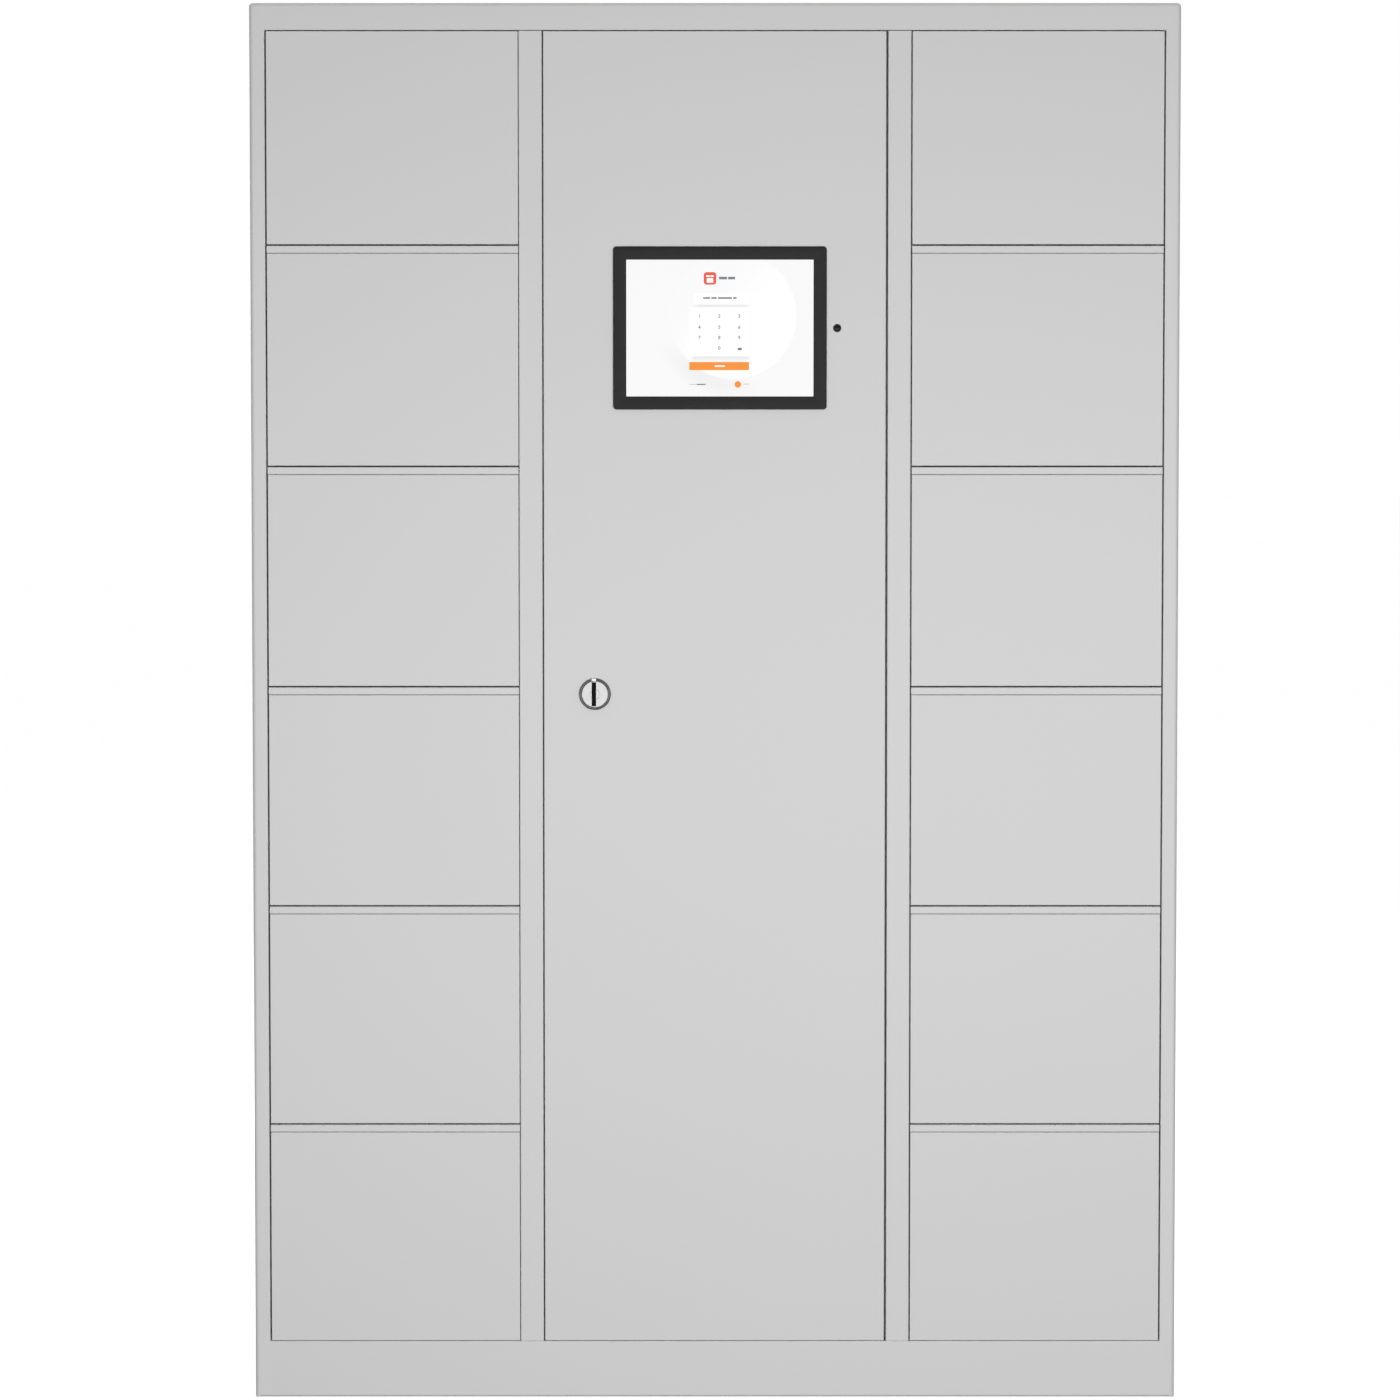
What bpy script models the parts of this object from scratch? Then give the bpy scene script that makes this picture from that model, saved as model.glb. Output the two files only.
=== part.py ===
"""A parcel locker with a key-locked service door between two banks of parcel compartments.

Run it with: blender --background --python part.py
Units are metres. +Z is up, the front faces -Y and +X is to the right of someone facing the front.
The origin is the middle of the footprint, on the floor.
Left-hand parts are modelled, and the right-hand bank is their mirror image.
"""

from math import cos, pi, radians, sin

import bmesh
import bpy
from mathutils import Matrix

# ---- Driving dimensions -------------------------------------------------------------------
WIDTH, HEIGHT, DEPTH = 1.192, 1.800, 0.500
LOCK_PROUD = 0.005  # the key lock is what stands furthest forward
ROWS = 6  # compartments in each bank
SHEET = 0.0012  # steel sheet
FIT = 0.0003  # gap between pieces that touch on the real cabinet
FOLD_RADIUS = 0.0012
PAST = 0.010  # how far a cutter reaches past what it cuts
OVERLAP = 0.001  # how deep two shapes overlap before they are joined

FRONT = -DEPTH / 2 + LOCK_PROUD  # plane of the doors and the frame
REAR = DEPTH / 2

HEADER_EDGE = 1.7653  # underside of the header
PLINTH_TOP = 0.0730
PITCH = 0.2837  # height of a compartment with its shelf
GAP_ABOVE, GAP_BELOW = 0.0004, 0.0017  # between a small door and the shelves
STRIP = 0.0095  # front edge of a shelf, seen between two doors
HEADER_GAP, PLINTH_GAP = 0.0011, 0.0006  # at the ends of each column of doors

DOOR_WIDTH, DOOR_DEPTH, DOOR_LIP = 0.3223, 0.020, 0.010
DOOR_HEIGHT = PITCH - GAP_ABOVE - GAP_BELOW - STRIP
SERVICE_DOOR_LEFT, SERVICE_DOOR_RIGHT = -0.2201, 0.21915
DOOR_TOP = HEADER_EDGE - HEADER_GAP
DOOR_BOTTOM = PLINTH_TOP + PLINTH_GAP

# Edges of what is seen at the front of each bank, as distances from the cabinet's middle.
BANKS = {
    "left": {"side": -1, "stile": 0.5765, "hinge_edge": 0.5747, "post": (0.2516, 0.2217)},
    "right": {"side": 1, "stile": 0.57665, "hinge_edge": 0.5750, "post": (0.2512, 0.2216)},
}
REBATE_DEPTH = 0.024  # the stop flanges stand this far behind the front plane
REBATE = 0.015  # how far a stop flange reaches behind a door
RETURN_DEPTH = 0.0236  # the header's, plinth's and shelves' lower returns
REAR_FLANGE = 0.015
STILE_CUT = 0.050  # the side panels are notched this far in from the stile
PLINTH_FOOT = 0.020
POST_TOP_GAP = 0.0008

PIVOT_INSET, PIVOT_DEPTH = 0.011, 0.005  # hinge rod, from the door's edge and its front face
ROD_RADIUS, ROD_HOLE_RADIUS = 0.0025, 0.0029
ROD_BOTTOM, ROD_TOP = 0.060, 1.778

BOLT, BOLT_LENGTH, BOLT_SLOPE = 0.008, 0.024, 0.005
BOLT_DEPTH = 0.010  # the bolt's middle, behind the front plane
BOLT_REST_GAP = 0.0005  # the drawn-back bolt's tip lies this far inside the post's side
BOLT_HOLE_CLEARANCE = 0.002  # round the bolt in the door
LOCK_BODY_HEIGHT, LOCK_BODY_DEPTH = 0.052, 0.030
LOCK_BODY_FRONT = 0.002
LOCK_BODY_CLEARANCE = 0.0006
RAIL_INSET, RAIL_THICKNESS, RAIL_END = 0.004, 0.002, 0.012  # the end passes the last lock

TABLET_X, TABLET_Z = 0.0062, 1.3850
BEZEL = (0.274, 0.2088)
BEZEL_WINDOW = (0.2401, 0.1751)
BEZEL_PROUD, BEZEL_CORNER = 0.003, 0.0045
TABLET_SIZE = (0.258, 0.194)
TABLET_THICKNESS, TABLET_CORNER = 0.009, 0.008
TABLET_BEHIND = 0.0001  # its glass, behind the front plane
TABLET_CUTOUT = (0.262, 0.198)
HOUSING_SIZE = (0.276, 0.214)
HOUSING_DEPTH, HOUSING_SHEET = 0.030, 0.0015

CAMERA_X, CAMERA_RADIUS = 0.1567, 0.0050
CAMERA_BARREL, CAMERA_CASE, CAMERA_CASE_DEPTH = 0.010, 0.020, 0.014
KEY_X, KEY_Z = -0.1546, 0.9144
KEY_RING_RADIUS, KEY_BARREL_RADIUS, KEY_BARREL_LENGTH = 0.0205, 0.013, 0.024
KEY_FACE_RADIUS, KEY_SHAFT_RADIUS, KEY_RUNNING_GAP = 0.0171, 0.0075, 0.0004
KEY_BORE_GAP = 0.0005
KEY_RING_CHAMFER, KEY_FACE_CHAMFER = 0.0012, 0.0005
KEY_FACE_SUNK = 0.0006  # the plug's face, behind the ring's
SHAFT_END, SPINDLE_END = 0.0265, 0.0310  # behind the front plane
KEY_SLOT = (0.0057, 0.031, 0.0024)  # width, height, depth
CAM_LENGTH, CAM_WIDTH, CAM_SHEET = 0.058, 0.016, 0.0025
CAM_FRONT = FRONT + 0.0272
SPINDLE_SQUARE = 0.008

WALL_X = WIDTH / 2 - SHEET  # inner face of a side wall
PARTITION_X = BANKS["left"]["post"][0] + REBATE  # compartment face of a partition
BACK_FRONT = REAR - SHEET - FIT - SHEET  # inner face of the back panel

PAINT = ("powder_coat_grey", (0.60, 0.60, 0.60), 0.45, 0.0)
ZINC = ("zinc_steel", (0.62, 0.63, 0.64), 0.35, 1.0)
BLACKENED = ("blackened_steel", (0.035, 0.035, 0.036), 0.50, 1.0)
CHROME = ("satin_chrome", (0.78, 0.78, 0.78), 0.22, 1.0)
BLACK_PLASTIC = ("black_plastic", (0.035, 0.035, 0.035), 0.40, 0.0)
DARK_CASE = ("dark_case", (0.08, 0.08, 0.09), 0.45, 0.0)
GLASS = ("screen_glass", (0.85, 0.86, 0.87), 0.10, 0.0)
CABLE = ("cable_jacket", (0.02, 0.02, 0.02), 0.55, 0.0)


# ---- Tools --------------------------------------------------------------------------------
def clear_scene():
    for obj in list(bpy.data.objects):
        bpy.data.objects.remove(obj, do_unlink=True)


def collection(name):
    made = bpy.data.collections.new(name)
    bpy.context.scene.collection.children.link(made)
    return made


def material(spec):
    name, colour, roughness, metallic = spec
    made = bpy.data.materials.get(name) or bpy.data.materials.new(name)
    made.use_nodes = True
    shader = made.node_tree.nodes["Principled BSDF"]
    shader.inputs["Base Color"].default_value = (*colour, 1.0)
    shader.inputs["Roughness"].default_value = roughness
    shader.inputs["Metallic"].default_value = metallic
    return made


def add_object(name, mesh, spec):
    obj = bpy.data.objects.new(name, mesh)
    mesh.materials.clear()
    mesh.materials.append(material(spec))
    PARTS.objects.link(obj)
    return obj


def mesh_from(name, bm):
    mesh = bpy.data.meshes.new(name)
    bm.to_mesh(mesh)
    bm.free()
    return mesh


def box_mesh(name, low, high):
    bm = bmesh.new()
    bmesh.ops.create_cube(bm, size=1.0)
    size = [high[i] - low[i] for i in range(3)]
    middle = [(high[i] + low[i]) / 2 for i in range(3)]
    bmesh.ops.transform(
        bm, matrix=Matrix.Translation(middle) @ Matrix.Diagonal((*size, 1.0)), verts=bm.verts
    )
    return mesh_from(name, bm)


def box(name, low, high, spec):
    return add_object(name, box_mesh(name, low, high), spec)


def cutter(mesh):
    obj = bpy.data.objects.new(mesh.name, mesh)
    PARTS.objects.link(obj)
    return as_cutter(obj)


def as_cutter(obj):
    """Moves obj from the parts to the cutters."""
    obj.name = "cutter_" + obj.name
    PARTS.objects.unlink(obj)
    CUTTERS.objects.link(obj)
    obj.hide_render = True
    obj.display_type = "WIRE"
    return obj


def box_cutter(low, high):
    return cutter(box_mesh("box", low, high))


def round_cutter(middle, radius, length, axis="Z", segments=20):
    """A cylinder along X, Y or Z, centred on middle."""
    turn = {"X": Matrix.Rotation(pi / 2, 4, "Y"), "Y": Matrix.Rotation(pi / 2, 4, "X")}
    bm = bmesh.new()
    bmesh.ops.create_cone(
        bm,
        cap_ends=True,
        segments=segments,
        radius1=radius,
        radius2=radius,
        depth=length,
        matrix=Matrix.Translation(middle) @ turn.get(axis, Matrix.Identity(4)),
    )
    return cutter(mesh_from("round", bm))


def combine(obj, other, operation):
    modifier = obj.modifiers.new(operation.lower(), "BOOLEAN")
    modifier.operation = operation
    modifier.solver = "EXACT"
    modifier.object = other


def cut(obj, *cutters):
    for one in cutters:
        combine(obj, one, "DIFFERENCE")


def join(obj, *others):
    for one in others:
        combine(obj, one, "UNION")


def settled(obj):
    """Turns obj with its modifiers, or a curve, into a plain mesh object of the same name."""
    bpy.context.view_layer.update()
    graph = bpy.context.evaluated_depsgraph_get()
    mesh = bpy.data.meshes.new_from_object(obj.evaluated_get(graph))
    bm = bmesh.new()
    bm.from_mesh(mesh)
    bmesh.ops.remove_doubles(bm, verts=bm.verts, dist=1e-6)
    bm.to_mesh(mesh)
    bm.free()
    name, matrix, parent = obj.name, obj.matrix_world.copy(), obj.parent
    bpy.data.objects.remove(obj, do_unlink=True)
    made = bpy.data.objects.new(name, mesh)
    PARTS.objects.link(made)
    made.parent = parent
    made.matrix_world = matrix
    return made


def smooth(obj, angle=40):
    obj.data.shade_smooth()
    obj.data.set_sharp_from_angle(angle=radians(angle))
    return obj


def place_copies(obj, places):
    """Puts an object with obj's mesh at each place, and removes obj. places holds a name, a
    location and whether the copy is mirrored about its own YZ plane."""
    mesh = obj.data
    bpy.data.objects.remove(obj, do_unlink=True)
    for name, location, mirrored in places:
        made = bpy.data.objects.new(name, mesh)
        PARTS.objects.link(made)
        made.location = location
        made.scale.x = -1.0 if mirrored else 1.0


def empty(name, location):
    made = bpy.data.objects.new(name, None)
    PARTS.objects.link(made)
    made.location = location
    return made


def hang(parent, *children):
    """Parents the children and leaves them where they are."""
    bpy.context.view_layer.update()
    for child in children:
        child.parent = parent
        child.matrix_parent_inverse = parent.matrix_world.inverted()


def folded_sheet(name, profile, start, end, along):
    """Sheet steel folded to an open profile and as long as start to end. The outer face lies to
    the right of the profile's direction: seen from +Z when along is Z and from -X when along is X.
    Its points are (x, y) along Z and (y, z) along X."""

    def at(point, reach):
        return (point[0], point[1], reach) if along == "Z" else (reach, point[0], point[1])

    bm = bmesh.new()
    near = [bm.verts.new(at(p, start)) for p in profile]
    far = [bm.verts.new(at(p, end)) for p in profile]
    for i in range(len(profile) - 1):
        bm.faces.new((near[i], near[i + 1], far[i + 1], far[i]))
    obj = add_object(name, mesh_from(name, bm), PAINT)
    bend = obj.modifiers.new("bend", "BEVEL")
    bend.width = FOLD_RADIUS
    bend.segments = 2
    bend.limit_method = "ANGLE"
    thicken(obj, SHEET)
    return obj


def thicken(obj, thickness):
    """Gives an open surface its thickness, behind its outer face."""
    solid = obj.modifiers.new("sheet", "SOLIDIFY")
    solid.thickness = thickness
    solid.offset = -1.0
    solid.use_even_offset = True


def pan(name, low, high, open_side, lip, thickness, spec):
    """A folded tray: a box with one side open, facing +Y (1) or -Y (-1), behind a lip all round."""
    bm = bmesh.new()
    bm.from_mesh(box_mesh(name, low, high))
    bm.normal_update()
    back = next(f for f in bm.faces if f.normal.y * open_side > 0.5)
    if lip:
        bmesh.ops.inset_region(bm, faces=[back], thickness=lip, use_even_offset=True)
    bmesh.ops.delete(bm, geom=[back], context="FACES")
    obj = add_object(name, mesh_from(name, bm), spec)
    thicken(obj, thickness)
    return obj


def corner_arc(middle, radius, start, steps):
    return [
        (
            middle[0] + radius * cos(start + pi / 2 * i / steps),
            middle[1] + radius * sin(start + pi / 2 * i / steps),
        )
        for i in range(steps + 1)
    ]


def rounded_rectangle(size, radius, steps=4):
    """Its outline, anticlockwise. A radius of 0 gives plain corners."""
    half = (size[0] / 2 - radius, size[1] / 2 - radius)
    quadrants = ((1, 1, 0), (-1, 1, pi / 2), (-1, -1, pi), (1, -1, 3 * pi / 2))
    points = []
    for across, up, start in quadrants:
        middle = (across * half[0], up * half[1])
        points += corner_arc(middle, radius, start, steps) if radius else [middle]
    return points


def flat_piece(name, outlines, middle, thickness, spec):
    """A plate in the XZ plane, from outlines of (x, z) points. The first is its edge and the
    others are holes. middle is the middle of its thickness."""
    curve = bpy.data.curves.new(name, "CURVE")
    curve.dimensions = "2D"
    curve.fill_mode = "BOTH"
    curve.extrude = thickness / 2
    for outline in outlines:
        spline = curve.splines.new("POLY")
        spline.points.add(len(outline) - 1)
        for point, (x, z) in zip(spline.points, outline):
            point.co = (x, z, 0.0, 1.0)
        spline.use_cyclic_u = True
    obj = bpy.data.objects.new(name, curve)
    curve.materials.append(material(spec))
    PARTS.objects.link(obj)
    obj.location = middle
    obj.rotation_euler = (pi / 2, 0, 0)
    return settled(obj)


def turned(name, profile, middle, spec, steps=32, closed=False):
    """A turned piece whose axis points to the front. Profile points are (radius, height in front
    of middle) and run down the outer side; a closed profile makes a ring."""
    bm = bmesh.new()
    points = [bm.verts.new((r, 0.0, h)) for r, h in profile]
    ends = zip(points, points[1:] + points[:1]) if closed else zip(points, points[1:])
    for a, b in ends:
        bm.edges.new((a, b))
    obj = add_object(name, mesh_from(name, bm), spec)
    screw = obj.modifiers.new("turn", "SCREW")
    screw.steps = steps
    screw.render_steps = steps
    screw.use_merge_vertices = True
    screw.merge_threshold = 1e-5
    obj.location = middle
    obj.rotation_euler = (pi / 2, 0, 0)
    return obj


def tube(name, route, radius, spec):
    """A round cable along a smooth curve through the route's points."""
    curve = bpy.data.curves.new(name, "CURVE")
    curve.dimensions = "3D"
    curve.bevel_depth = radius
    curve.bevel_resolution = 2
    curve.use_fill_caps = True
    points = smooth_route(route)
    spline = curve.splines.new("POLY")
    spline.points.add(len(points) - 1)
    for point, co in zip(spline.points, points):
        point.co = (*co, 1.0)
    obj = bpy.data.objects.new(name, curve)
    curve.materials.append(material(spec))
    PARTS.objects.link(obj)
    return settled(obj)


def smooth_route(route, between=4):
    """Catmull-Rom points through the route."""
    padded = [route[0], *route, route[-1]]
    points = []
    for a, b, c, d in zip(padded, padded[1:], padded[2:], padded[3:]):
        for step in range(between):
            t = step / between
            points.append(
                tuple(
                    0.5
                    * (
                        2 * b[k]
                        + (c[k] - a[k]) * t
                        + (2 * a[k] - 5 * b[k] + 4 * c[k] - d[k]) * t**2
                        + (3 * b[k] - a[k] - 3 * c[k] + d[k]) * t**3
                    )
                    for k in range(3)
                )
            )
    return points + [route[-1]]


# ---- Places that several parts share ------------------------------------------------------
def door_top(row):
    return DOOR_TOP - row * PITCH


def shelf_top(row):
    """Top of the shelf under row, counted from 0 at the top."""
    return door_top(row) - DOOR_HEIGHT - GAP_BELOW


def bolt_height(row):
    return door_top(row) - DOOR_HEIGHT / 2


def rod_x(bank):
    return bank["side"] * (bank["hinge_edge"] - PIVOT_INSET)


SERVICE_ROD_X = SERVICE_DOOR_RIGHT - PIVOT_INSET


def rod_hole(x, low, high):
    return round_cutter((x, FRONT + PIVOT_DEPTH, (low + high) / 2), ROD_HOLE_RADIUS, high - low)


# ---- Cabinet ------------------------------------------------------------------------------
def side_panel(side_name):
    """Outer wall, rear flange, front stile, its return and the stop flange, in one sheet."""
    bank = BANKS[side_name]
    side, stile = bank["side"], bank["stile"]
    outer = WIDTH / 2
    profile = [
        (-(outer - REAR_FLANGE), REAR),
        (-outer, REAR),
        (-outer, FRONT),
        (-stile, FRONT),
        (-stile, FRONT + REBATE_DEPTH),
        (-(stile - REBATE), FRONT + REBATE_DEPTH),
    ]
    obj = folded_sheet("side_panel_" + side_name, profile, 0.0, HEIGHT, "Z")
    inside = -(WALL_X - FIT)
    inner = -stile + STILE_CUT
    cut(
        obj,
        box_cutter(
            (inside, FRONT - PAST, HEADER_EDGE - FIT), (inner, FRONT + RETURN_DEPTH + FIT, HEIGHT + PAST)
        ),
        box_cutter((inside, FRONT, HEIGHT - SHEET - FIT), (inner, REAR + PAST, HEIGHT + PAST)),
        box_cutter((inside, BACK_FRONT, HEIGHT - REAR_FLANGE - FIT), (inner, REAR + PAST, HEIGHT + PAST)),
        box_cutter((inside, FRONT - PAST, -PAST), (inner, BACK_FRONT, PLINTH_TOP + FIT)),
    )
    obj = settled(obj)
    return turned_over(obj) if side > 0 else obj


def turned_over(obj):
    """obj moved to the other side of the cabinet, keeping its name."""
    name, mesh = obj.name, obj.data
    bpy.data.objects.remove(obj, do_unlink=True)
    mesh.transform(Matrix.Diagonal((-1.0, 1.0, 1.0, 1.0)))
    mesh.flip_normals()
    made = bpy.data.objects.new(name, mesh)
    PARTS.objects.link(made)
    return made


def top_panel():
    profile = [
        (REAR, HEIGHT - REAR_FLANGE),
        (REAR, HEIGHT),
        (FRONT, HEIGHT),
        (FRONT, HEADER_EDGE),
        (FRONT + RETURN_DEPTH, HEADER_EDGE),
    ]
    obj = folded_sheet("top_panel", profile, -WALL_X + FIT, WALL_X - FIT, "X")
    for x in (rod_x(BANKS["left"]), rod_x(BANKS["right"]), SERVICE_ROD_X):
        cut(obj, rod_hole(x, HEADER_EDGE - PAST, HEADER_EDGE + PAST))
    return settled(obj)


def plinth():
    profile = [
        (FRONT + RETURN_DEPTH, PLINTH_TOP),
        (FRONT, PLINTH_TOP),
        (FRONT, 0.0),
        (FRONT + PLINTH_FOOT, 0.0),
    ]
    obj = folded_sheet("plinth", profile, -WALL_X + FIT, WALL_X - FIT, "X")
    for x in (rod_x(BANKS["left"]), rod_x(BANKS["right"]), SERVICE_ROD_X):
        cut(obj, rod_hole(x, PLINTH_TOP - PAST, PLINTH_TOP + PAST))
    return settled(obj)


def base_panel():
    """Floor of the bottom compartments, with a skirt down to the ground at the rear."""
    profile = [
        (BACK_FRONT - FIT, 0.0),
        (BACK_FRONT - FIT, PLINTH_TOP),
        (FRONT + REBATE_DEPTH + FIT, PLINTH_TOP),
    ]
    return settled(folded_sheet("base_panel", profile, -WALL_X + FIT, WALL_X - FIT, "X"))


VENT_ROWS, VENT_COLUMNS = 6, 2
VENT_SIZE, VENT_PITCH, VENT_BOTTOM = (0.090, 0.006), (0.130, 0.024), 1.500
INLET_X, INLET_Z = 0.150, 0.170
INLET_HOLE, INLET_DEPTH = (0.0288, 0.0208), 0.025
INLET_FLANGE = (0.050, 0.0025, 0.030)  # width, thickness, height
INLET_SOCKET = (0.022, 0.014, 0.014)  # width, depth, height
BACK_LIFT = 0.002  # the back panel ends this far above the floor


def back_panel():
    """A flat sheet behind the rear flanges, with vents behind the service bay and the inlet's hole."""
    obj = box(
        "back_panel",
        (-WALL_X + FIT, BACK_FRONT, BACK_LIFT),
        (WALL_X - FIT, BACK_FRONT + SHEET, HEIGHT - SHEET - 2 * FIT),
        PAINT,
    )
    for column in range(VENT_COLUMNS):
        for row in range(VENT_ROWS):
            x = (column - (VENT_COLUMNS - 1) / 2) * VENT_PITCH[0]
            z = VENT_BOTTOM + row * VENT_PITCH[1]
            cut(
                obj,
                box_cutter(
                    (x - VENT_SIZE[0] / 2, BACK_FRONT - PAST, z - VENT_SIZE[1] / 2),
                    (x + VENT_SIZE[0] / 2, REAR + PAST, z + VENT_SIZE[1] / 2),
                ),
            )
    cut(
        obj,
        box_cutter(
            (INLET_X - INLET_HOLE[0] / 2, BACK_FRONT - PAST, INLET_Z - INLET_HOLE[1] / 2),
            (INLET_X + INLET_HOLE[0] / 2, REAR + PAST, INLET_Z + INLET_HOLE[1] / 2),
        ),
    )
    return settled(obj)


def partition(side_name):
    """Wall of the compartments, a stop flange, the front post and the service door's stop flange,
    in one sheet, with a hole for each row's bolt."""
    bank = BANKS[side_name]
    outer, inner = bank["post"]
    profile = [
        (-PARTITION_X, BACK_FRONT - FIT),
        (-PARTITION_X, FRONT + REBATE_DEPTH),
        (-outer, FRONT + REBATE_DEPTH),
        (-outer, FRONT),
        (-inner, FRONT),
        (-inner, FRONT + REBATE_DEPTH),
        (-(inner - REBATE), FRONT + REBATE_DEPTH),
    ]
    top = HEIGHT - SHEET - FIT
    obj = folded_sheet("partition_" + side_name, profile, PLINTH_TOP + FIT, top, "Z")
    cut(
        obj,
        box_cutter(
            (-PARTITION_X - PAST, FRONT - PAST, HEADER_EDGE - POST_TOP_GAP),
            (-inner + REBATE + PAST, FRONT + RETURN_DEPTH + FIT, top + PAST),
        ),
    )
    hole = BOLT / 2 + LOCK_BODY_CLEARANCE
    for row in range(ROWS):
        cut(
            obj,
            box_cutter(
                (-outer - 2 * SHEET, FRONT + BOLT_DEPTH - hole, bolt_height(row) - hole),
                (-outer + 2 * SHEET, FRONT + BOLT_DEPTH + hole, bolt_height(row) + hole),
            ),
        )
    obj = settled(obj)
    return turned_over(obj) if bank["side"] > 0 else obj


def shelves():
    """One folded shelf, notched round the stop flanges and drilled for the hinge rod, then copied
    to every place. Its front edge is the strip between two doors."""
    bank = BANKS["left"]
    edge = bank["hinge_edge"]
    profile = [
        (BACK_FRONT - FIT, 0.0),
        (FRONT, 0.0),
        (FRONT, -STRIP),
        (FRONT + RETURN_DEPTH, -STRIP),
    ]
    shelf = folded_sheet("shelf", profile, -WALL_X + FIT, -edge + DOOR_WIDTH, "X")
    notch_front = FRONT + REBATE_DEPTH - FIT
    notch_back = FRONT + REBATE_DEPTH + SHEET + FIT
    low, high = -STRIP - PAST, PAST
    outside = -WALL_X - PAST
    cut(
        shelf,
        box_cutter((outside, FRONT - PAST, low), (-edge, notch_back, high)),
        box_cutter((outside, notch_front, low), (-bank["stile"] + REBATE + FIT, notch_back, high)),
        box_cutter((-PARTITION_X - FIT, notch_front, low), (-edge + DOOR_WIDTH + PAST, REAR, high)),
        rod_hole(rod_x(bank), low, high),
    )
    places = []
    for side_name, bank in BANKS.items():
        shift = bank["side"] * (bank["hinge_edge"] - edge)
        for row in range(ROWS - 1):
            name = f"shelf_{side_name}_{row + 1}"
            places.append((name, (shift, 0, shelf_top(row)), bank["side"] > 0))
    place_copies(settled(shelf), places)


# ---- Compartment doors, their bolts and hinge rods ----------------------------------------
def small_doors():
    """A folded tray with holes for the hinge rod, which is its origin, and for the bolt. The left
    bank's door is the one modelled."""
    left, right = -PIVOT_INSET, DOOR_WIDTH - PIVOT_INSET
    front, half_height = -PIVOT_DEPTH, DOOR_HEIGHT / 2
    door = pan(
        "door",
        (left, front, -half_height),
        (right, front + DOOR_DEPTH, half_height),
        1,
        DOOR_LIP,
        SHEET,
        PAINT,
    )
    hole = BOLT / 2 + BOLT_HOLE_CLEARANCE
    bolt_y = front + BOLT_DEPTH
    cut(
        door,
        round_cutter((0, 0, 0), ROD_HOLE_RADIUS, DOOR_HEIGHT + PAST),
        box_cutter(
            (right - 2 * SHEET, bolt_y - hole, -hole), (right + 2 * SHEET, bolt_y + hole, hole)
        ),
    )
    places = []
    for side_name, bank in BANKS.items():
        for row in range(ROWS):
            place = (rod_x(bank), FRONT + PIVOT_DEPTH, bolt_height(row))
            places.append((f"door_{side_name}_{row + 1}", place, bank["side"] > 0))
    place_copies(settled(door), places)


def bolts():
    """A square spring bolt with a slope on its front face, so that a closing door pushes it in. Its
    origin is the middle of its tip, and it points to -X."""
    mesh = box_mesh("bolt", (0, -BOLT / 2, -BOLT / 2), (BOLT_LENGTH, BOLT / 2, BOLT / 2))
    for vertex in mesh.vertices:
        if vertex.co.x < BOLT_SLOPE and vertex.co.y < 0:
            vertex.co.x += BOLT_SLOPE
    places = []
    for side_name, bank in BANKS.items():
        tip = bank["side"] * (bank["post"][0] - BOLT_REST_GAP)
        for row in range(ROWS):
            place = (tip, FRONT + BOLT_DEPTH, bolt_height(row))
            places.append((f"bolt_{side_name}_{row + 1}", place, bank["side"] > 0))
    place_copies(add_object("bolt", mesh, ZINC), places)


def lock_rail(side_name):
    """The electric locks of one bank, on the strip that holds them inside the post."""
    bank = BANKS[side_name]
    outer, inner = bank["post"]
    low_x = -outer + SHEET + LOCK_BODY_CLEARANCE
    high_x = -inner - SHEET - LOCK_BODY_CLEARANCE
    front = FRONT + LOCK_BODY_FRONT
    back = front + LOCK_BODY_DEPTH
    half = LOCK_BODY_HEIGHT / 2
    end = half + RAIL_END
    obj = box(
        "lock_rail_" + side_name,
        (low_x + RAIL_INSET, back - RAIL_THICKNESS / 2, bolt_height(ROWS - 1) - end),
        (high_x - RAIL_INSET, back + RAIL_THICKNESS / 2, bolt_height(0) + end),
        ZINC,
    )
    bore = BOLT / 2 + LOCK_BODY_CLEARANCE / 2
    for row in range(ROWS):
        z = bolt_height(row)
        join(obj, box_cutter((low_x, front, z - half), (high_x, back, z + half)))
    for row in range(ROWS):
        z = bolt_height(row)
        cut(
            obj,
            box_cutter(
                (low_x - PAST, FRONT + BOLT_DEPTH - bore, z - bore),
                (high_x + PAST, FRONT + BOLT_DEPTH + bore, z + bore),
            ),
        )
    obj = settled(obj)
    return turned_over(obj) if bank["side"] > 0 else obj


def hinge_rod(name, x):
    bm = bmesh.new()
    bmesh.ops.create_cone(
        bm,
        cap_ends=True,
        segments=16,
        radius1=ROD_RADIUS,
        radius2=ROD_RADIUS,
        depth=ROD_TOP - ROD_BOTTOM,
    )
    obj = add_object(name, mesh_from(name, bm), BLACKENED)
    obj.location = (x, FRONT + PIVOT_DEPTH, (ROD_TOP + ROD_BOTTOM) / 2)
    return smooth(obj)


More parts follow.
